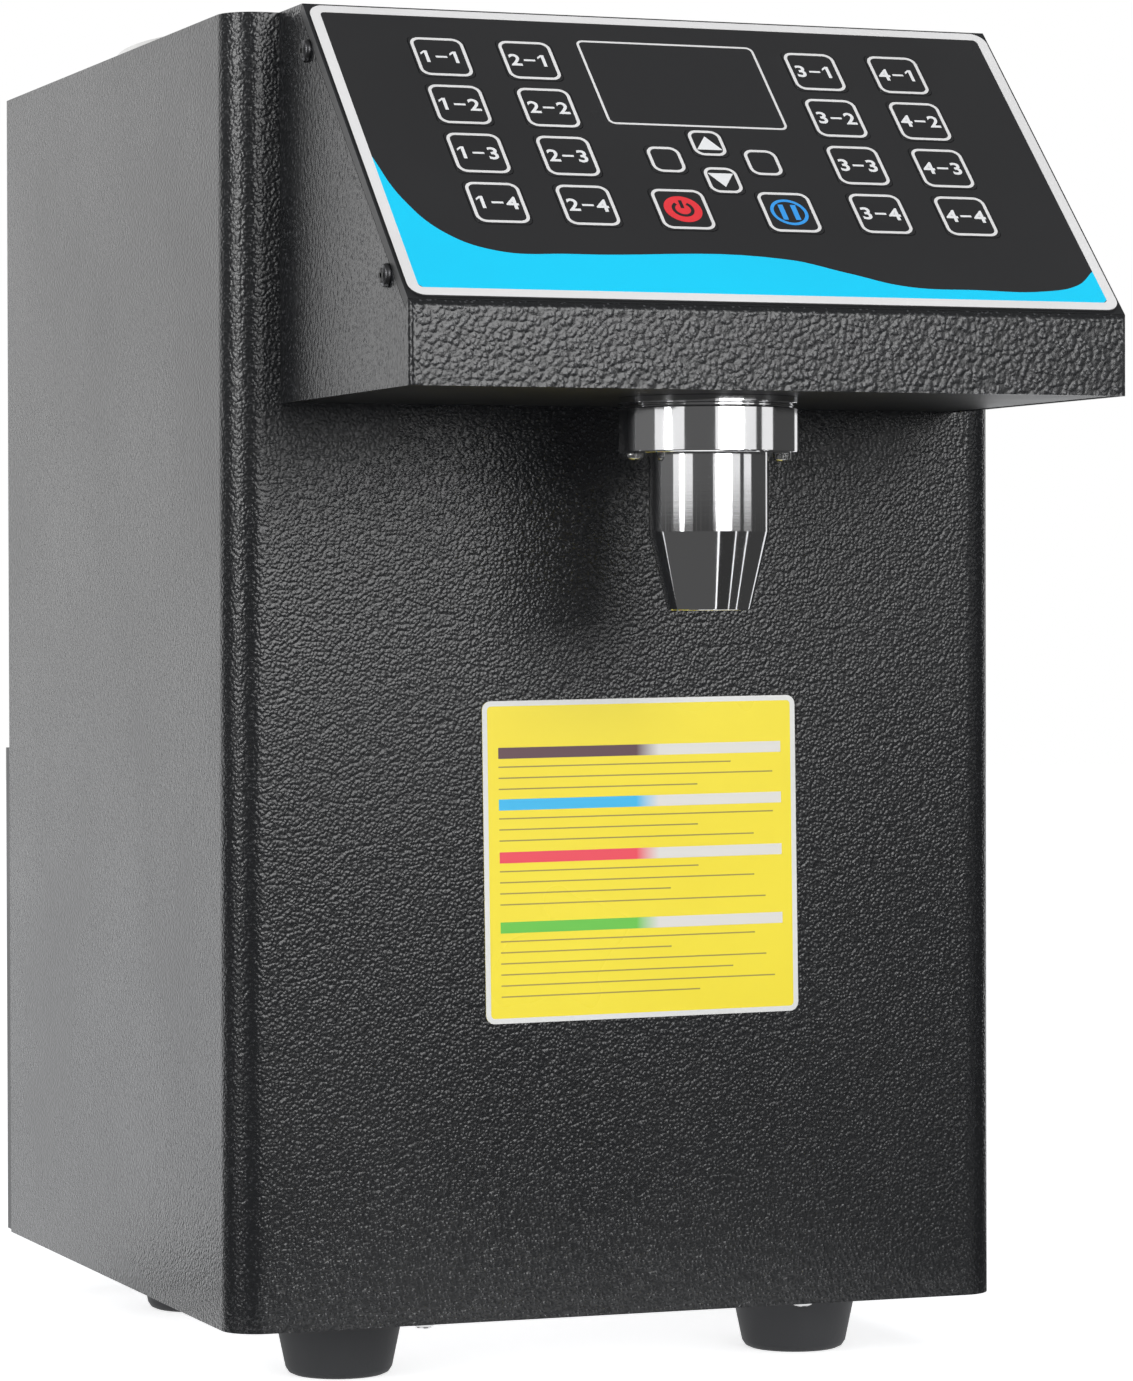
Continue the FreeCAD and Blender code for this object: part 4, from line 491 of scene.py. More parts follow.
def number_mesh(left, right):
    """Two flat bold figures with a wide dash between them, centred on the origin."""
    mesh = bmesh.new()
    add_bar(mesh, 0.0, 0.0, *DASH_HALF_SIZE)
    for figure, x in ((left, -FIGURE_SPREAD), (right, FIGURE_SPREAD)):
        curve = bpy.data.curves.new("figure", "FONT")
        curve.body = str(figure)
        curve.size = FIGURE_SIZE
        curve.offset = FIGURE_WEIGHT
        curve.align_x = "CENTER"
        curve.fill_mode = "FRONT"
        curve.resolution_u = 5
        drawn = flat_mesh("figure", curve)
        middle = (min(v.co.y for v in drawn.verts) + max(v.co.y for v in drawn.verts)) / 2
        bmesh.ops.translate(drawn, vec=(x, -middle, 0.0), verts=drawn.verts)
        if figure == 1:
            reach, drop, weight = FLAG
            top = max(v.co.y for v in drawn.verts)
            left = min(v.co.x for v in drawn.verts if v.co.y < 0)
            flag = [(left, top), (left - reach, top - drop), (left - reach, top - drop - weight)]
            flag.append((left, top - weight))
            drawn.faces.new([drawn.verts.new((px, py, 0.0)) for px, py in flag])
        form = bpy.data.meshes.new("figure_form")
        drawn.to_mesh(form)
        drawn.free()
        mesh.from_mesh(form)
        bpy.data.meshes.remove(form)
    return mesh


def print_on_key(mesh, node, name, material, layer=0):
    """Lays a flat symbol on the middle of a key, over the given number of ink layers."""
    x, y = key_frame(node)[:2]
    bmesh.ops.translate(mesh, vec=(x, y, 0.0), verts=mesh.verts)
    lay_ink(mesh, KEY_TOP + layer * INK_THICKNESS)
    finish_piece(mesh, f"{node}_{name}", node, material)


for column in range(1, 5):
    for row in range(1, 5):
        node = f"key_{column}_{row}"
        make_key(node)
        print_on_key(number_mesh(column, row), node, "number", white_ink)

ARROW_HALF_WIDTH = 0.0043
ARROW_HALF_HEIGHT = 0.0033
for node, way in (("key_up", 1), ("key_down", -1)):
    make_key(node)
    arrow = bmesh.new()
    tip = (0.0, way * ARROW_HALF_HEIGHT)
    base = [(-ARROW_HALF_WIDTH, -way * ARROW_HALF_HEIGHT), (ARROW_HALF_WIDTH, -way * ARROW_HALF_HEIGHT)]
    arrow.faces.new([arrow.verts.new((px, py, 0.0)) for px, py in base + [tip]])
    print_on_key(arrow, node, "arrow", white_ink)
for node in ("key_set", "key_save"):
    make_key(node)

# Power and pause symbols
# The power key has a red disc with the usual broken ring and bar. The pause key has a blue ring and two bars.
DISC_RADIUS = 0.0062
SYMBOL_RADIUS = 0.0031
SYMBOL_STROKE = 0.0011
SYMBOL_GAP = math.radians(70.0)
PAUSE_BAR = (0.00085, 0.0036)
PAUSE_SPREAD = 0.0021


def arc_band(radius, stroke, gap, steps=40):
    """A flat band round the origin, open at the top by the gap angle."""
    mesh = bmesh.new()
    start = math.pi / 2 + gap / 2
    reaches = (radius - stroke / 2, radius + stroke / 2)
    ends = [(reach * math.cos(start), reach * math.sin(start), 0.0) for reach in reaches]
    inner, outer = [mesh.verts.new(end) for end in ends]
    edge = mesh.edges.new((inner, outer))
    bmesh.ops.spin(
        mesh,
        geom=[inner, outer, edge],
        cent=(0.0, 0.0, 0.0),
        axis=(0.0, 0.0, 1.0),
        angle=2 * math.pi - gap,
        steps=steps,
        use_merge=gap == 0.0,
    )
    return mesh


make_key("key_power")
make_key("key_pause")
disc = bmesh.new()
bmesh.ops.create_circle(disc, cap_ends=True, segments=48, radius=DISC_RADIUS)
print_on_key(disc, "key_power", "disc", red_ink)
broken_ring = arc_band(SYMBOL_RADIUS, SYMBOL_STROKE, SYMBOL_GAP)
add_bar(broken_ring, 0.0, SYMBOL_RADIUS * 0.75, SYMBOL_STROKE / 2, SYMBOL_RADIUS * 0.6)
print_on_key(broken_ring, "key_power", "symbol", key_surface, layer=1)
ring = arc_band(DISC_RADIUS - SYMBOL_STROKE / 2, SYMBOL_STROKE, 0.0)
for side in (-1, 1):
    add_bar(ring, side * PAUSE_SPREAD, 0.0, *PAUSE_BAR)
print_on_key(ring, "key_pause", "symbol", blue_ink)

# Display window
# A dark gloss lens lies flush in the film, inside a silver line. The machine is off, so no digits show.
WINDOW_LINE = 0.0008
WINDOW_HALF_WIDTH = 0.0305
WINDOW_SPAN = (0.0863, 0.1287)
lens_material, lens_shader = start_material("dark_lens", (0.02, 0.02, 0.021), 0.12)
lens_effect = lens_material.node_tree.nodes.new("ShaderNodeGroup")
lens_effect.node_tree = satin
add_blend(lens_material, lens_effect.outputs["Patch"], 0.1, 0.16, lens_shader.inputs["Roughness"])
lens = softened("display_window", 0.0002)
finish_piece(lens, "lens", "cabinet", lens_material, ("display_window",))
window_line = outline_mesh(-WINDOW_HALF_WIDTH, WINDOW_HALF_WIDTH, *WINDOW_SPAN, KEY_RADIUS, WINDOW_LINE)
lay_ink(window_line, FILM_THICKNESS)
finish_piece(window_line, "lens_line", "cabinet", silver_ink)

# Label plate
# A yellow printed plate with a pale rim is stuck a little askew on the front. Coloured bars and fine rules
# fill it.
LABEL_CENTRE = (0.0056, 0.1499)
LABEL_HALF = (0.0551, 0.0525)
LABEL_TURN = math.radians(0.7)
LABEL_RIM = 0.0017
LABEL_THICKNESS = 0.0003
BAR_LEFT, BAR_RIGHT = -0.0497, 0.0498
BAR_SPLIT = 0.002
BAR_HALF_HEIGHT = 0.0018
BARS = (
    (0.0355, (0.105, 0.05, 0.06)),
    (0.0187, (0.035, 0.42, 0.72)),
    (0.0015, (0.75, 0.06, 0.09)),
    (-0.0213, (0.13, 0.5, 0.06)),
)
FADED_INK = (0.66, 0.64, 0.6)
FADE_HALF_WIDTH = 0.004
RULES = (3, 3, 4, 6)
RULE_PITCH = 0.0036
RULE_HALF_HEIGHT = 0.00022
RULE_LENGTHS = (0.94, 0.82, 0.97, 0.7, 0.9, 0.6)
to_front = (
    Matrix.Translation((LABEL_CENTRE[0], front_y, base_z + LABEL_CENTRE[1]))
    @ Matrix.Rotation(-LABEL_TURN, 4, "Y")
    @ Matrix.Rotation(math.radians(90.0), 4, "X")
)

yellow_print = satin_finish("yellow_print", (0.79, 0.64, 0.025), (0.83, 0.69, 0.045), 0.3, 0.000003)
label = softened("label_plate", 0.0001)
finish_piece(label, "label", "cabinet", yellow_print, ("label_plate",))
rim_ink = satin_finish("rim_ink", (0.62, 0.62, 0.6), (0.68, 0.68, 0.66), 0.36, 0.000003)
rim = outline_mesh(-LABEL_HALF[0], LABEL_HALF[0], -LABEL_HALF[1], LABEL_HALF[1], 0.003, LABEL_RIM)
lay_ink(rim, LABEL_THICKNESS, to_front)
finish_piece(rim, "label_rim", "cabinet", rim_ink)


def fading_ink(name, colour, fade_start, fade_end):
    """Ink that fades from a colour to pale grey along X."""
    material, shader = start_material(name, colour, 0.34)
    nodes = material.node_tree.nodes
    place = nodes.new("ShaderNodeTexCoord")
    parts = nodes.new("ShaderNodeSeparateXYZ")
    material.node_tree.links.new(place.outputs["Object"], parts.inputs["Vector"])
    span = (fade_start, fade_end)
    add_blend(material, parts.outputs["X"], colour, FADED_INK, shader.inputs["Base Color"], span)
    return material


rule_ink = satin_finish("rule_ink", (0.3, 0.24, 0.05), (0.36, 0.28, 0.06), 0.4, 0.000003)
rules = bmesh.new()
for number, ((level, colour), lines) in enumerate(zip(BARS, RULES), 1):
    bar = bmesh.new()
    add_bar(bar, (BAR_LEFT + BAR_RIGHT) / 2, level, (BAR_RIGHT - BAR_LEFT) / 2, BAR_HALF_HEIGHT)
    lay_ink(bar, LABEL_THICKNESS, to_front)
    split = LABEL_CENTRE[0] + BAR_SPLIT
    ink = fading_ink(f"bar_ink_{number}", colour, split - FADE_HALF_WIDTH, split + FADE_HALF_WIDTH)
    finish_piece(bar, f"label_bar_{number}", "cabinet", ink)
    for line in range(lines):
        y = level - BAR_HALF_HEIGHT - RULE_PITCH * (line + 0.75)
        length = (BAR_RIGHT - BAR_LEFT) * RULE_LENGTHS[(line + number) % len(RULE_LENGTHS)]
        add_bar(rules, BAR_LEFT + length / 2, y, length / 2, RULE_HALF_HEIGHT)
lay_ink(rules, LABEL_THICKNESS, to_front)
finish_piece(rules, "label_rules", "cabinet", rule_ink)

# Nozzle
# The collar and the nozzle are turned from steel and chrome plated. Two small screws hold the collar under
# the hood. A soft valve in the nozzle's mouth stops drips.
SPIN_STEPS = 96
CHROME_ANGLE = math.radians(8.0)


def turned(profile, centre, edge_radius, steps=SPIN_STEPS, edge_segments=3):
    """A closed (radius, height) profile spun about an upright axis, with its sharp edges rounded."""
    mesh = bmesh.new()
    points = [mesh.verts.new((radius, 0.0, height)) for radius, height in profile]
    edges = [mesh.edges.new((a, b)) for a, b in zip(points, points[1:] + points[:1])]
    bmesh.ops.spin(
        mesh,
        geom=points + edges,
        cent=(0.0, 0.0, 0.0),
        axis=(0.0, 0.0, 1.0),
        angle=2 * math.pi,
        steps=steps,
        use_merge=True,
    )
    bmesh.ops.remove_doubles(mesh, verts=mesh.verts, dist=MERGE_DISTANCE)
    bmesh.ops.recalc_face_normals(mesh, faces=mesh.faces)
    round_sharp_edges(mesh, edge_radius, edge_segments)
    bmesh.ops.translate(mesh, vec=centre, verts=mesh.verts)
    return mesh


def polish_group():
    """Faint turning marks round an upright axis, and smudges left by hands."""
    group, given, result = start_group(
        "turned_polish",
        {"Marks per metre": 1800.0},
        {"Marks": "NodeSocketFloat", "Smudge": "NodeSocketFloat"},
    )
    nodes = group.nodes
    links = group.links
    place = nodes.new("ShaderNodeTexCoord")
    squeeze = nodes.new("ShaderNodeMapping")
    squeeze.inputs["Scale"].default_value = (0.02, 0.02, 1.0)
    marks = nodes.new("ShaderNodeTexNoise")
    marks.inputs["Detail"].default_value = 2.0
    smudge = nodes.new("ShaderNodeTexNoise")
    smudge.inputs["Scale"].default_value = 60.0
    smudge.inputs["Detail"].default_value = 4.0
    links.new(place.outputs["Object"], squeeze.inputs["Vector"])
    links.new(squeeze.outputs["Vector"], marks.inputs["Vector"])
    links.new(given.outputs["Marks per metre"], marks.inputs["Scale"])
    links.new(place.outputs["Object"], smudge.inputs["Vector"])
    links.new(marks.outputs["Fac"], result.inputs["Marks"])
    links.new(smudge.outputs["Fac"], result.inputs["Smudge"])
    return group


polish = polish_group()


def polished_metal(name, colour, clean, smudged, mark_depth):
    """Polished or brushed metal with turning marks."""
    material, shader = start_material(name, colour, clean, 1.0)
    effect = material.node_tree.nodes.new("ShaderNodeGroup")
    effect.node_tree = polish
    add_blend(material, effect.outputs["Smudge"], clean, smudged, shader.inputs["Roughness"])
    add_bump(material, shader, effect.outputs["Marks"], mark_depth)
    return material


chrome = polished_metal("chrome", (0.8, 0.8, 0.81), 0.05, 0.1, 0.0000015)
collar_low, collar_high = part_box("nozzle_collar")
nozzle_low, nozzle_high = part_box("nozzle_body")
nozzle_x = (collar_low.x + collar_high.x) / 2
nozzle_y = (collar_low.y + collar_high.y) / 2
collar_radius = (collar_high.x - collar_low.x) / 2
GROOVE = 0.0008
RING_HEIGHT = 0.0029
STRAIGHT_RADIUS = 0.0189
TIP_RADIUS = 0.0131
TIP_LIP = 0.0012
OUTLET_RADIUS = 0.011
CONE_HEIGHT = 0.0245
STEM_RADIUS = 0.0121
groove_z = collar_high.z - RING_HEIGHT
collar_profile = [
    (STRAIGHT_RADIUS + 0.0001, collar_low.z),
    (collar_radius - 0.0005, collar_low.z),
    (collar_radius, collar_low.z + 0.0005),
    (collar_radius, groove_z - GROOVE),
    (collar_radius - GROOVE * 1.6, groove_z - GROOVE / 2),
    (collar_radius - GROOVE * 1.6, groove_z + GROOVE / 2),
    (collar_radius, groove_z + GROOVE),
    (collar_radius, collar_high.z),
    (STEM_RADIUS, collar_high.z),
    (STEM_RADIUS, collar_low.z + 0.007),
    (STRAIGHT_RADIUS + 0.0001, collar_low.z + 0.007),
]
nozzle_place = (nozzle_x, nozzle_y, 0.0)
collar = turned(collar_profile, nozzle_place, 0.0002)
finish_piece(collar, "collar", "cabinet", chrome, ("nozzle_collar",), CHROME_ANGLE)
cone_z = nozzle_low.z + CONE_HEIGHT
nozzle_profile = [
    (OUTLET_RADIUS, nozzle_low.z),
    (TIP_RADIUS, nozzle_low.z),
    (TIP_RADIUS + 0.0003, nozzle_low.z + TIP_LIP),
    (STRAIGHT_RADIUS, cone_z),
    (STRAIGHT_RADIUS, collar_low.z + 0.006),
    (OUTLET_RADIUS - 0.003, collar_low.z + 0.006),
    (OUTLET_RADIUS - 0.003, nozzle_low.z + 0.019),
    (OUTLET_RADIUS, nozzle_low.z + 0.019),
]
nozzle = turned(nozzle_profile, nozzle_place, 0.0003)
finish_piece(nozzle, "nozzle", "cabinet", chrome, ("nozzle_body",), CHROME_ANGLE)
STEM_TOP = nozzle_high.z
stem_profile = [
    (0.0035, collar_high.z),
    (STEM_RADIUS - 0.0001, collar_high.z),
    (STEM_RADIUS - 0.0001, STEM_TOP - 0.017),
    (0.005, STEM_TOP - 0.017),
    (0.005, STEM_TOP - 0.012),
    (0.0046, STEM_TOP - 0.006),
    (0.005, STEM_TOP - 0.005),
    (0.0044, STEM_TOP),
    (0.0035, STEM_TOP),
]
stem = turned(stem_profile, nozzle_place, 0.0002)
finish_piece(stem, "nozzle_stem", "cabinet", chrome, (), CHROME_ANGLE)
silicone, silicone_shader = start_material("clear_silicone", (0.78, 0.78, 0.74), 0.38)
silicone_shader.inputs["Transmission Weight"].default_value = 0.35
silicone_shader.inputs["IOR"].default_value = 1.41
silicone_effect = silicone.node_tree.nodes.new("ShaderNodeGroup")
silicone_effect.node_tree = satin
add_bump(silicone, silicone_shader, silicone_effect.outputs["Grain"], 0.00002)
for node in ("drip_valve", "suction_hose", "delivery_hose", "tank_gasket"):
    frame["nodes"][node].data.materials.clear()
    frame["nodes"][node].data.materials.append(silicone)

# Tank lid
# A pressed stainless lid lies over the tank's mouth on a soft ring. Its black knob is held by one screw.
stainless = polished_metal("brushed_stainless", (0.62, 0.62, 0.61), 0.24, 0.34, 0.000004)
lid_low, lid_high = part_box("tank_lid")
lid_x = (lid_low.x + lid_high.x) / 2
lid_y = (lid_low.y + lid_high.y) / 2
lid_radius = 0.1255
LID_THICKNESS = 0.001
LID_SKIRT = 0.0052
LID_BEND = 0.0018
DISH_RADIUS = 0.098
DISH_DEPTH = 0.0006
PLUG_RADIUS = 0.111
lid_place = (lid_x, lid_y, 0.0)
lid_profile = [
    (0.0, lid_high.z - LID_THICKNESS - DISH_DEPTH),
    (PLUG_RADIUS - LID_THICKNESS, lid_high.z - LID_THICKNESS),
    (PLUG_RADIUS - LID_THICKNESS, lid_low.z),
    (PLUG_RADIUS, lid_low.z),
    (PLUG_RADIUS, lid_high.z - LID_THICKNESS),
    (lid_radius - LID_THICKNESS, lid_high.z - LID_THICKNESS),
    (lid_radius - LID_THICKNESS, lid_high.z - LID_SKIRT),
    (lid_radius, lid_high.z - LID_SKIRT),
    (lid_radius, lid_high.z - LID_BEND),
    (lid_radius - LID_BEND * 0.3, lid_high.z - LID_BEND * 0.3),
    (lid_radius - LID_BEND, lid_high.z),
    (DISH_RADIUS + 0.002, lid_high.z),
    (DISH_RADIUS, lid_high.z - DISH_DEPTH),
    (0.0, lid_high.z - DISH_DEPTH),
]
lid = turned(lid_profile, lid_place, 0.0002, 160)
finish_piece(lid, "lid", "lid", stainless, ("tank_lid",), math.radians(25.0))
knob_low, knob_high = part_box("lid_knob")
knob_radius = (knob_high.x - knob_low.x) / 2
KNOB_NECK = 0.008
grip_low = knob_low.z + (knob_high.z - knob_low.z) * 0.4
knob_profile = [
    (0.0, knob_low.z - DISH_DEPTH),
    (KNOB_NECK + 0.003, knob_low.z - DISH_DEPTH),
    (KNOB_NECK + 0.002, knob_low.z + 0.0008),
    (KNOB_NECK, knob_low.z + 0.0022),
    (KNOB_NECK, grip_low),
    (knob_radius - 0.0012, grip_low),
    (knob_radius, grip_low + 0.0015),
    (knob_radius, knob_high.z - 0.0025),
    (knob_radius - 0.0008, knob_high.z - 0.0008),
    (knob_radius - 0.0026, knob_high.z),
    (0.006, knob_high.z),
    (0.0052, knob_high.z - 0.0008),
    (0.0, knob_high.z - 0.0008),
]
moulded = satin_finish(
    "moulded_black", (0.014, 0.014, 0.015), (0.02, 0.02, 0.021), 0.45, 0.00003, 0.0, 1400.0
)
knob = turned(knob_profile, lid_place, 0.0003)
finish_piece(knob, "knob", "lid", moulded, ("lid_knob",))

# Feet
# Four moulded rubber feet taper to the worktop. Each is held by a screw in its recess.
foot_rubber = satin_finish(
    "black_rubber", (0.02, 0.021, 0.023), (0.03, 0.031, 0.034), 0.62, 0.00005, 0.0, 1100.0
)
feet_low, feet_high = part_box("feet")
FOOT_TOP_RADIUS = 0.0222
FOOT_BOTTOM_RADIUS = 0.0174
FOOT_RECESS_RADIUS = 0.0065
FOOT_RECESS_DEPTH = 0.008
foot_profile = [
    (FOOT_RECESS_RADIUS, 0.0),
    (FOOT_BOTTOM_RADIUS - 0.0022, 0.0),
    (FOOT_BOTTOM_RADIUS - 0.0007, 0.0007),
    (FOOT_BOTTOM_RADIUS + 0.0004, 0.0024),
    (FOOT_TOP_RADIUS - 0.0003, feet_high.z - 0.0012),
    (FOOT_TOP_RADIUS, feet_high.z),
    (0.0022, feet_high.z),
    (0.0022, FOOT_RECESS_DEPTH),
    (FOOT_RECESS_RADIUS - 0.0004, FOOT_RECESS_DEPTH),
]
feet = bmesh.new()
foot_x = (feet_high.x - feet_low.x) / 2 - FOOT_TOP_RADIUS
foot_mesh = bpy.data.meshes.new("foot_form")
turned(foot_profile, (0.0, 0.0, 0.0), 0.0004, 64).to_mesh(foot_mesh)
for x in (-foot_x, foot_x):
    for y in (feet_low.y + FOOT_TOP_RADIUS, feet_high.y - FOOT_TOP_RADIUS):
        start = len(feet.verts)
        feet.from_mesh(foot_mesh)
        feet.verts.ensure_lookup_table()
        bmesh.ops.translate(feet, vec=(x, y, 0.0), verts=feet.verts[start:])
bpy.data.meshes.remove(foot_mesh)
finish_piece(feet, "foot_set", "cabinet", foot_rubber, ("feet",))

# Screws
# Pan-head screws with a near-black cross on the head, painted shade for the cross recess: larger ones in the
# sheet metal, smaller ones in the collar and the inlet.
# Each head and shank follows one solid of the CAD's screw group. Those in the side walls are blackened.
screw_steel = polished_metal("plated_screw", (0.6, 0.6, 0.6), 0.2, 0.32, 0.000002)
blackened = polished_metal("blackened_screw", (0.12, 0.12, 0.125), 0.3, 0.4, 0.000002)
HEAD_STEPS = 28
CROSS_REACH_SHARE = 0.62
CROSS_WIDTH_SHARE = 0.2
CROSS_THICKNESS_SHARE = 0.02


def screw_mesh(head_radius, head_height, shank_radius, length):
    """One screw, its head on the -Z side of the origin and its shank along +Z."""
    return turned(
        [
            (0.0, -head_height),
            (head_radius * 0.55, -head_height * 0.97),
            (head_radius * 0.88, -head_height * 0.72),
            (head_radius, -head_height * 0.32),
            (head_radius, 0.0),
            (shank_radius, 0.0),
            (shank_radius, length),
            (0.0, length),
        ],
        (0.0, 0.0, 0.0),
        head_radius * 0.05,
        HEAD_STEPS,
        2,
    )


def cross_mark(mesh, head_radius, head_height):
    """A thin dark cross on the top of a screw's head, as two crossed blocks, painted shade for the cross
    recess.
    """
    reach = head_radius * CROSS_REACH_SHARE
    width = head_radius * CROSS_WIDTH_SHARE
    for long_x, long_y in ((reach, width), (width, reach)):
        made = bmesh.ops.create_cube(mesh, size=2.0)
        thickness = head_height * CROSS_THICKNESS_SHARE
        bmesh.ops.scale(mesh, vec=(long_x, long_y, thickness), verts=made["verts"])
        bmesh.ops.translate(mesh, vec=(0.0, 0.0, -head_height), verts=made["verts"])


# Painted shade for the cross recesses in the screw heads.
recess_shadow = satin_finish("recess_shadow", (0.01, 0.01, 0.01), (0.02, 0.02, 0.02), 0.5)


def solids_of(node):
    """Lists of vertex places, one for each loose solid of a CAD node."""
    mesh = bmesh.new()
    mesh.from_mesh(frame["nodes"][node].data)
    bmesh.ops.remove_doubles(mesh, verts=mesh.verts, dist=MERGE_DISTANCE)
    mesh.verts.ensure_lookup_table()
    seen = set()
    solids = []
    for vertex in mesh.verts:
        if vertex.index in seen:
            continue
        seen.add(vertex.index)
        waiting = [vertex]
        solid = []
        while waiting:
            here = waiting.pop()
            solid.append(here.co.copy())
            for edge in here.link_edges:
                other = edge.other_vert(here)
                if other.index not in seen:
                    seen.add(other.index)
                    waiting.append(other)
        solids.append(solid)
    mesh.free()
    return solids


def screw_axis(points):
    """Base point, pointing direction, head radius and height, shank radius and length of one screw solid."""
    low = Vector([min(p[i] for p in points) for i in range(3)])
    high = Vector([max(p[i] for p in points) for i in range(3)])
    extent = high - low
    axis = min(range(3), key=lambda i: abs(extent[(i + 1) % 3] - extent[(i + 2) % 3]))
    middle = (low + high) / 2
    radius = extent[(axis + 1) % 3] / 2

    def spread(value):
        sides = [(axis + 1) % 3, (axis + 2) % 3]
        near = [p - middle for p in points if abs(p[axis] - value) < 1e-5]
        return max(math.hypot(*(p[i] for i in sides)) for p in near)

    ends = (low[axis], high[axis])
    levels = sorted({round(p[axis], 6) for p in points})
    widest = [level for level in levels if abs(spread(level) - radius) < 2e-5]
    shank = min(spread(low[axis]), spread(high[axis]))
    pointing = Vector((0.0, 0.0, 0.0))
    if abs(widest[0] - ends[0]) < abs(widest[-1] - ends[1]):
        pointing[axis] = 1.0
        seat = widest[-1]
        head_height = seat - ends[0]
        length = ends[1] - seat
    else:
        pointing[axis] = -1.0
        seat = widest[0]
        head_height = ends[1] - seat
        length = seat - ends[0]
    base = middle.copy()
    base[axis] = seat
    return base, pointing, radius, head_height, shank, length


screws = bmesh.new()
side_screws = bmesh.new()
recesses = bmesh.new()
for points in solids_of("screws"):
    base, pointing, radius, head_height, shank, length = screw_axis(points)
    turn = Vector((0.0, 0.0, 1.0)).rotation_difference(pointing).to_matrix().to_4x4()
    place = Matrix.Translation(base) @ turn
    form = bpy.data.meshes.new("screw_form")
    screw_mesh(radius, head_height, shank, length).to_mesh(form)
    form.transform(place)
    (side_screws if pointing.x else screws).from_mesh(form)
    bpy.data.meshes.remove(form)
    mark = bmesh.new()
    cross_mark(mark, radius, head_height)
    form = bpy.data.meshes.new("recess_form")
    mark.to_mesh(form)
    mark.free()
    form.transform(place)
    recesses.from_mesh(form)
    bpy.data.meshes.remove(form)
finish_piece(screws, "screw_set", "cabinet", screw_steel, ("screws",))
finish_piece(side_screws, "side_screws", "cabinet", blackened)
finish_piece(recesses, "screw_recesses", "cabinet", recess_shadow)

# Rear panels
# The rear has a flat upper panel and a shallow tray below it, in satin black, with rows of air slots.
for node, name in (("rear_panel", "rear_sheet"), ("rear_cover", "rear_tray")):
    finish_piece(softened(node, SHEET_EDGE), name, "cabinet", sheet_paint, (node,))

# Mains inlet and switch
# A moulded three-pin inlet and a small rocker switch sit in the rear tray.
inlet = softened("power_inlet", 0.0004)
finish_piece(inlet, "inlet", "cabinet", moulded, ("power_inlet",))
finish_piece(
    softened("switch_housing", 0.0003), "switch_case", "cabinet", moulded, ("switch_housing",)
)
rocker_gloss = satin_finish("rocker_gloss", (0.012, 0.012, 0.013), (0.016, 0.016, 0.017), 0.25, 0.00001)
finish_piece(softened("rocker", 0.0004), "rocker_cap", "rocker", rocker_gloss, ("rocker",))

# Inside parts
# Tank, heater, pump, motor, supply and boards keep their CAD shapes, each in the finish of the real thing.
plated_sheet = satin_finish("plated_sheet", (0.5, 0.5, 0.51), (0.6, 0.6, 0.61), 0.36, 0.00001, 1.0)
machined = polished_metal("machined_steel", (0.56, 0.56, 0.57), 0.2, 0.3, 0.000003)
cast_aluminium = satin_finish(
    "cast_aluminium", (0.55, 0.55, 0.56), (0.62, 0.62, 0.63), 0.4, 0.00003, 1.0, 1500.0
)
board_green = satin_finish("board_green", (0.01, 0.11, 0.045), (0.014, 0.14, 0.06), 0.32, 0.00001)
heater_orange = satin_finish("heater_orange", (0.5, 0.13, 0.03), (0.58, 0.17, 0.05), 0.5, 0.00004, 0.0, 900.0)
cable_sheath = satin_finish("cable_sheath", (0.02, 0.02, 0.02), (0.03, 0.03, 0.03), 0.42)
inside_finishes = {
    "base_plate": plated_sheet,
    "pump_bracket": plated_sheet,
    "tank": stainless,
    "outlet_fitting": machined,
    "outlet_nut": machined,
    "drive_gear": machined,
    "driven_gear": machined,
    "pump_housing": cast_aluminium,
    "pump_cover": cast_aluminium,
    "power_supply": cast_aluminium,
    "pump_motor": moulded,
    "main_board": board_green,
    "key_board": board_green,
    "heater_pad": heater_orange,
    "wiring": cable_sheath,
}
for node, finish in inside_finishes.items():
    frame["nodes"][node].data.materials.clear()
    frame["nodes"][node].data.materials.append(finish)

# Studio
# The floor and the surround are white. Soft boxes stand right of the camera, left of it and behind on the
# left. Grey cards, which only reflections see, keep the rest of the room dim, as in a studio.
FLOOR_SIZE = 12.0
CAMERA_YAW = math.radians(20.61)
CARD_DISTANCE = 1.7
CARD_TOP = 1.7
CARD_SPANS = ((-112, -68, 0.16), (-28, 8, 0.11), (57, 65, 0.08), (82, 134, 0.07))
LOW_CARD_TOP = 0.32
FLOOR_LIFT = (0.68, 0.68, 0.68)
TABLE_CARD = (0.21, 1.7)
TABLE_SPANS = ((-112, -96, 0.05), (-93, 17, 0.09), (20, 47, 0.04), (49, 70, 0.05), (73, 134, 0.05))
CEILING_CARD = (1.9, 1.6, 0.2)
LOW_CARD = 0.05
AIM_HEIGHT = 0.25


def start_stage(mesh, name):
    """A stage object from a bmesh, which isn't part of the machine."""
    data = bpy.data.meshes.new(name)
    mesh.to_mesh(data)
    mesh.free()
    holder = bpy.data.objects.new(name, data)
    bpy.context.scene.collection.objects.link(holder)
    return holder


def shown_rays(tree):
    """A factor of 1 for rays that come straight from the camera, a reflection or a clear piece."""
    rays = tree.nodes.new("ShaderNodeLightPath")
    seen = tree.nodes.new("ShaderNodeMath")
    seen.operation = "MAXIMUM"
    shown = tree.nodes.new("ShaderNodeMath")
    shown.operation = "MAXIMUM"
    tree.links.new(rays.outputs["Is Camera Ray"], seen.inputs[0])
    tree.links.new(rays.outputs["Is Glossy Ray"], seen.inputs[1])
    tree.links.new(seen.outputs["Value"], shown.inputs[0])
    tree.links.new(rays.outputs["Is Transmission Ray"], shown.inputs[1])
    return shown.outputs["Value"]


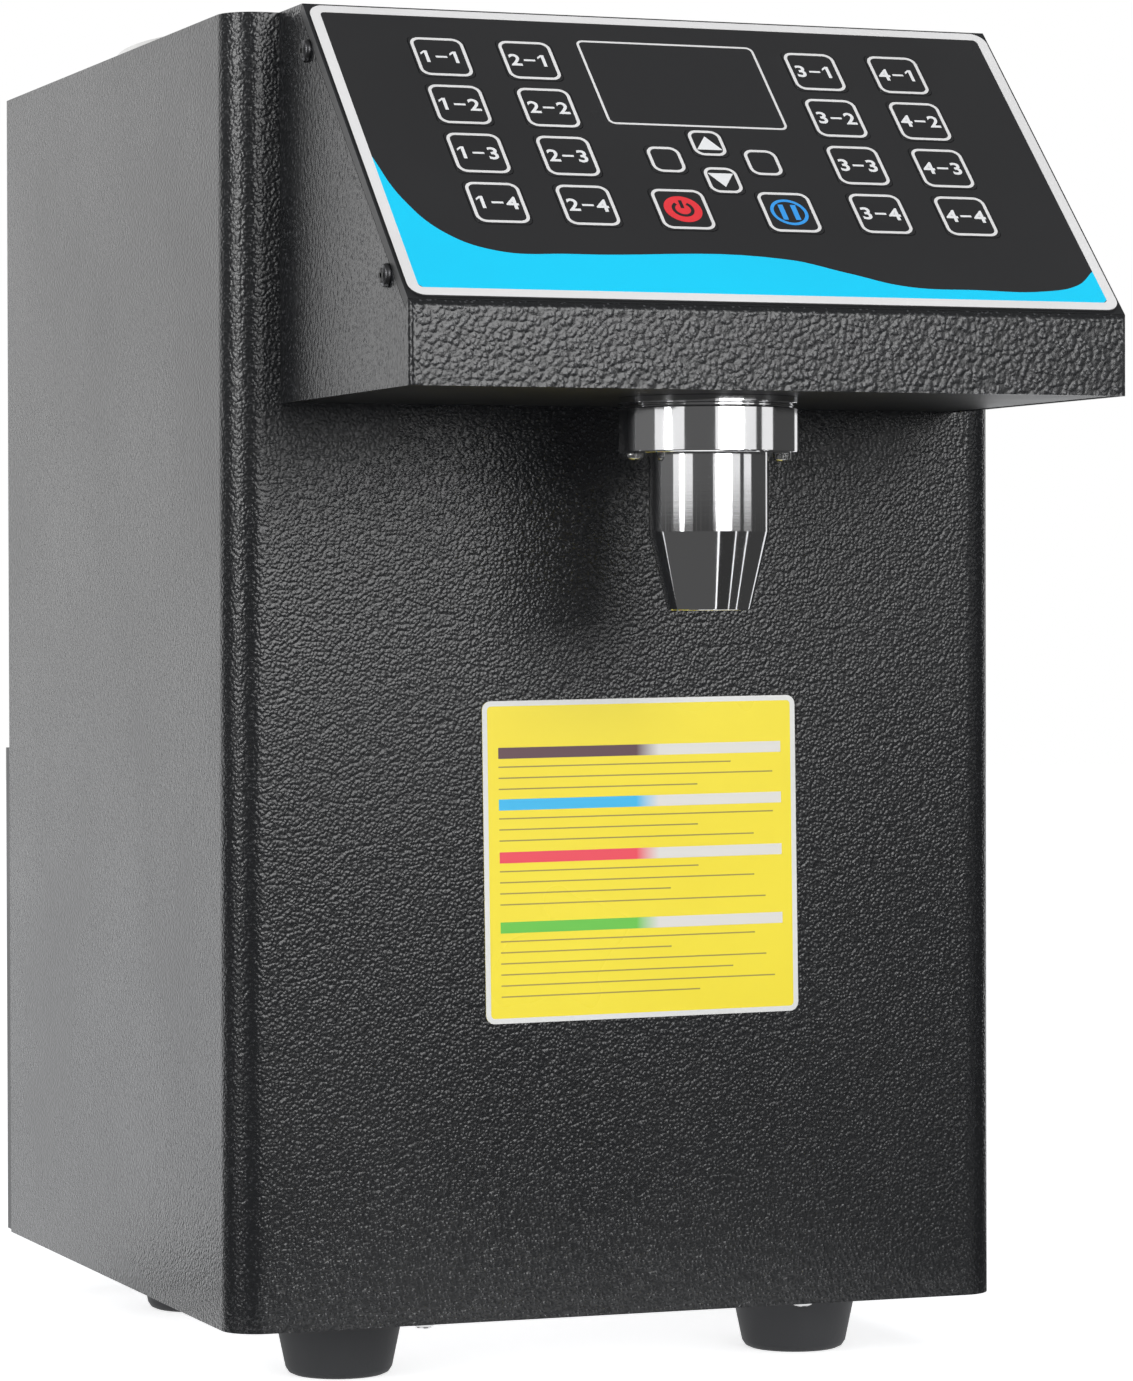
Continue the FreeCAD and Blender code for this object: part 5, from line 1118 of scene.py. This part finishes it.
def studio_floor():
    """White paper that keeps the machine's shadow. Only what is seen of it is lifted to white."""
    mesh = bmesh.new()
    bmesh.ops.create_grid(mesh, x_segments=1, y_segments=1, size=FLOOR_SIZE / 2)
    material, shader = start_material("floor_paper", (0.9, 0.9, 0.9), 0.8)
    shader.inputs["Specular IOR Level"].default_value = 0.0
    tree = material.node_tree
    glow = tree.nodes.new("ShaderNodeEmission")
    glow.inputs["Color"].default_value = (*FLOOR_LIFT, 1.0)
    glow.inputs["Strength"].default_value = 1.0
    lifted = tree.nodes.new("ShaderNodeAddShader")
    mix = tree.nodes.new("ShaderNodeMixShader")
    tree.links.new(shader.outputs["BSDF"], lifted.inputs[0])
    tree.links.new(glow.outputs["Emission"], lifted.inputs[1])
    tree.links.new(shown_rays(tree), mix.inputs["Fac"])
    tree.links.new(shader.outputs["BSDF"], mix.inputs[1])
    tree.links.new(lifted.outputs["Shader"], mix.inputs[2])
    tree.links.new(mix.outputs["Shader"], tree.nodes["Material Output"].inputs["Surface"])
    start_stage(mesh, "floor").data.materials.append(material)


def studio_world():
    """White where it is seen or reflected, and a soft cool light everywhere else."""
    world = bpy.data.worlds.new("studio")
    bpy.context.scene.world = world
    world.use_nodes = True
    nodes = world.node_tree.nodes
    links = world.node_tree.links
    soft = nodes["Background"]
    soft.inputs["Color"].default_value = (0.92, 0.95, 1.0, 1.0)
    soft.inputs["Strength"].default_value = 0.45
    white = nodes.new("ShaderNodeBackground")
    white.inputs["Color"].default_value = (1.0, 1.0, 1.0, 1.0)
    white.inputs["Strength"].default_value = 1.0
    mix = nodes.new("ShaderNodeMixShader")
    links.new(shown_rays(world.node_tree), mix.inputs["Fac"])
    links.new(soft.outputs["Background"], mix.inputs[1])
    links.new(white.outputs["Background"], mix.inputs[2])
    links.new(mix.outputs["Shader"], nodes["World Output"].inputs["Surface"])


def round_the_machine(degrees, distance, height):
    """A place round the machine, by its angle to the right of the direction to the camera."""
    heading = math.radians(270.0 + degrees) - CAMERA_YAW
    return Vector((distance * math.cos(heading), distance * math.sin(heading), height))


def show_in_reflections_only(holder):
    holder.visible_camera = False
    holder.visible_diffuse = False
    holder.visible_transmission = False
    holder.visible_volume_scatter = False
    holder.visible_shadow = False


def grey_card(name, inner, outer, brightness):
    """A strip between two rows of places, of an even brightness, that only reflections see."""
    mesh = bmesh.new()
    rows = [[mesh.verts.new(place) for place in row] for row in (inner, outer)]
    for i in range(len(inner) - 1):
        mesh.faces.new((rows[0][i], rows[0][i + 1], rows[1][i + 1], rows[1][i]))
    material = bpy.data.materials.new(name)
    material.use_nodes = True
    tree = material.node_tree
    tree.nodes.remove(tree.nodes["Principled BSDF"])
    glow = tree.nodes.new("ShaderNodeEmission")
    glow.inputs["Color"].default_value = (brightness, brightness, brightness, 1.0)
    glow.inputs["Strength"].default_value = 1.0
    tree.links.new(glow.outputs["Emission"], tree.nodes["Material Output"].inputs["Surface"])
    holder = start_stage(mesh, name)
    holder.data.materials.append(material)
    show_in_reflections_only(holder)


def curved_card(name, start, end, near, far, brightness, steps=8):
    """A card along an arc, from (distance, height) near to (distance, height) far."""
    angles = [start + (end - start) * i / steps for i in range(steps + 1)]
    inner = [round_the_machine(angle, *near) for angle in angles]
    outer = [round_the_machine(angle, *far) for angle in angles]
    grey_card(name, inner, outer, brightness)


def soft_box(name, degrees, distance, height, width, tall, power):
    """A soft lamp that faces the machine and isn't seen by the camera."""
    lamp = bpy.data.lights.new(name, "AREA")
    lamp.shape = "RECTANGLE"
    lamp.size = width
    lamp.size_y = tall
    lamp.energy = power
    holder = bpy.data.objects.new(name, lamp)
    holder.location = round_the_machine(degrees, distance, height)
    aim = Vector((0.0, 0.0, AIM_HEIGHT)) - holder.location
    holder.rotation_euler = aim.to_track_quat("-Z", "Y").to_euler()
    holder.visible_camera = False
    bpy.context.scene.collection.objects.link(holder)


studio_floor()
studio_world()
for number, (start, end, brightness) in enumerate(CARD_SPANS, 1):
    low, high = (CARD_DISTANCE, 0.0), (CARD_DISTANCE, CARD_TOP)
    curved_card(f"side_card_{number}", start, end, low, high, brightness)
low, high = (CARD_DISTANCE, 0.0), (CARD_DISTANCE, LOW_CARD_TOP)
curved_card("low_card", CARD_SPANS[0][0], CARD_SPANS[-1][1], low, high, LOW_CARD, 30)
for number, (start, end, brightness) in enumerate(TABLE_SPANS, 1):
    near, far = (TABLE_CARD[0], 0.002), (TABLE_CARD[1], 0.002)
    curved_card(f"table_card_{number}", start, end, near, far, brightness)
height, half, brightness = CEILING_CARD
inner = [Vector((-half, y, height)) for y in (-half, half)]
outer = [Vector((half, y, height)) for y in (-half, half)]
grey_card("ceiling_card", inner, outer, brightness)
soft_box("right_box", 27.0, 2.0, 0.85, 1.1, 1.1, 23.5)
soft_box("left_box", -50.0, 2.0, 0.8, 0.3, 1.5, 20.0)
soft_box("rear_box", -142.0, 1.8, 0.5, 1.2, 1.4, 1.1)

# Camera
# The photograph's viewpoint: left of the front and a little above its middle, from about 1.7 m.
CAMERA_PLACE = (-0.58277, front_y - 1.49467, base_z + 0.22764)
CAMERA_PITCH = math.radians(0.81)
CAMERA_ROLL = math.radians(-0.14)
CAMERA_LENS = 127.5
CAMERA_SENSOR = 36.0
CAMERA_REACH = 30.0
camera_data = bpy.data.cameras.new("camera")
camera_data.lens = CAMERA_LENS
camera_data.sensor_width = CAMERA_SENSOR
camera_data.clip_end = CAMERA_REACH
camera = bpy.data.objects.new("camera", camera_data)
turn = Euler((math.radians(90.0) - CAMERA_PITCH, 0.0, -CAMERA_YAW)).to_matrix().to_4x4()
camera.matrix_world = Matrix.Translation(CAMERA_PLACE) @ turn @ Matrix.Rotation(CAMERA_ROLL, 4, "Z")
bpy.context.scene.collection.objects.link(camera)
bpy.context.scene.camera = camera
bpy.context.scene.view_settings.view_transform = "Standard"
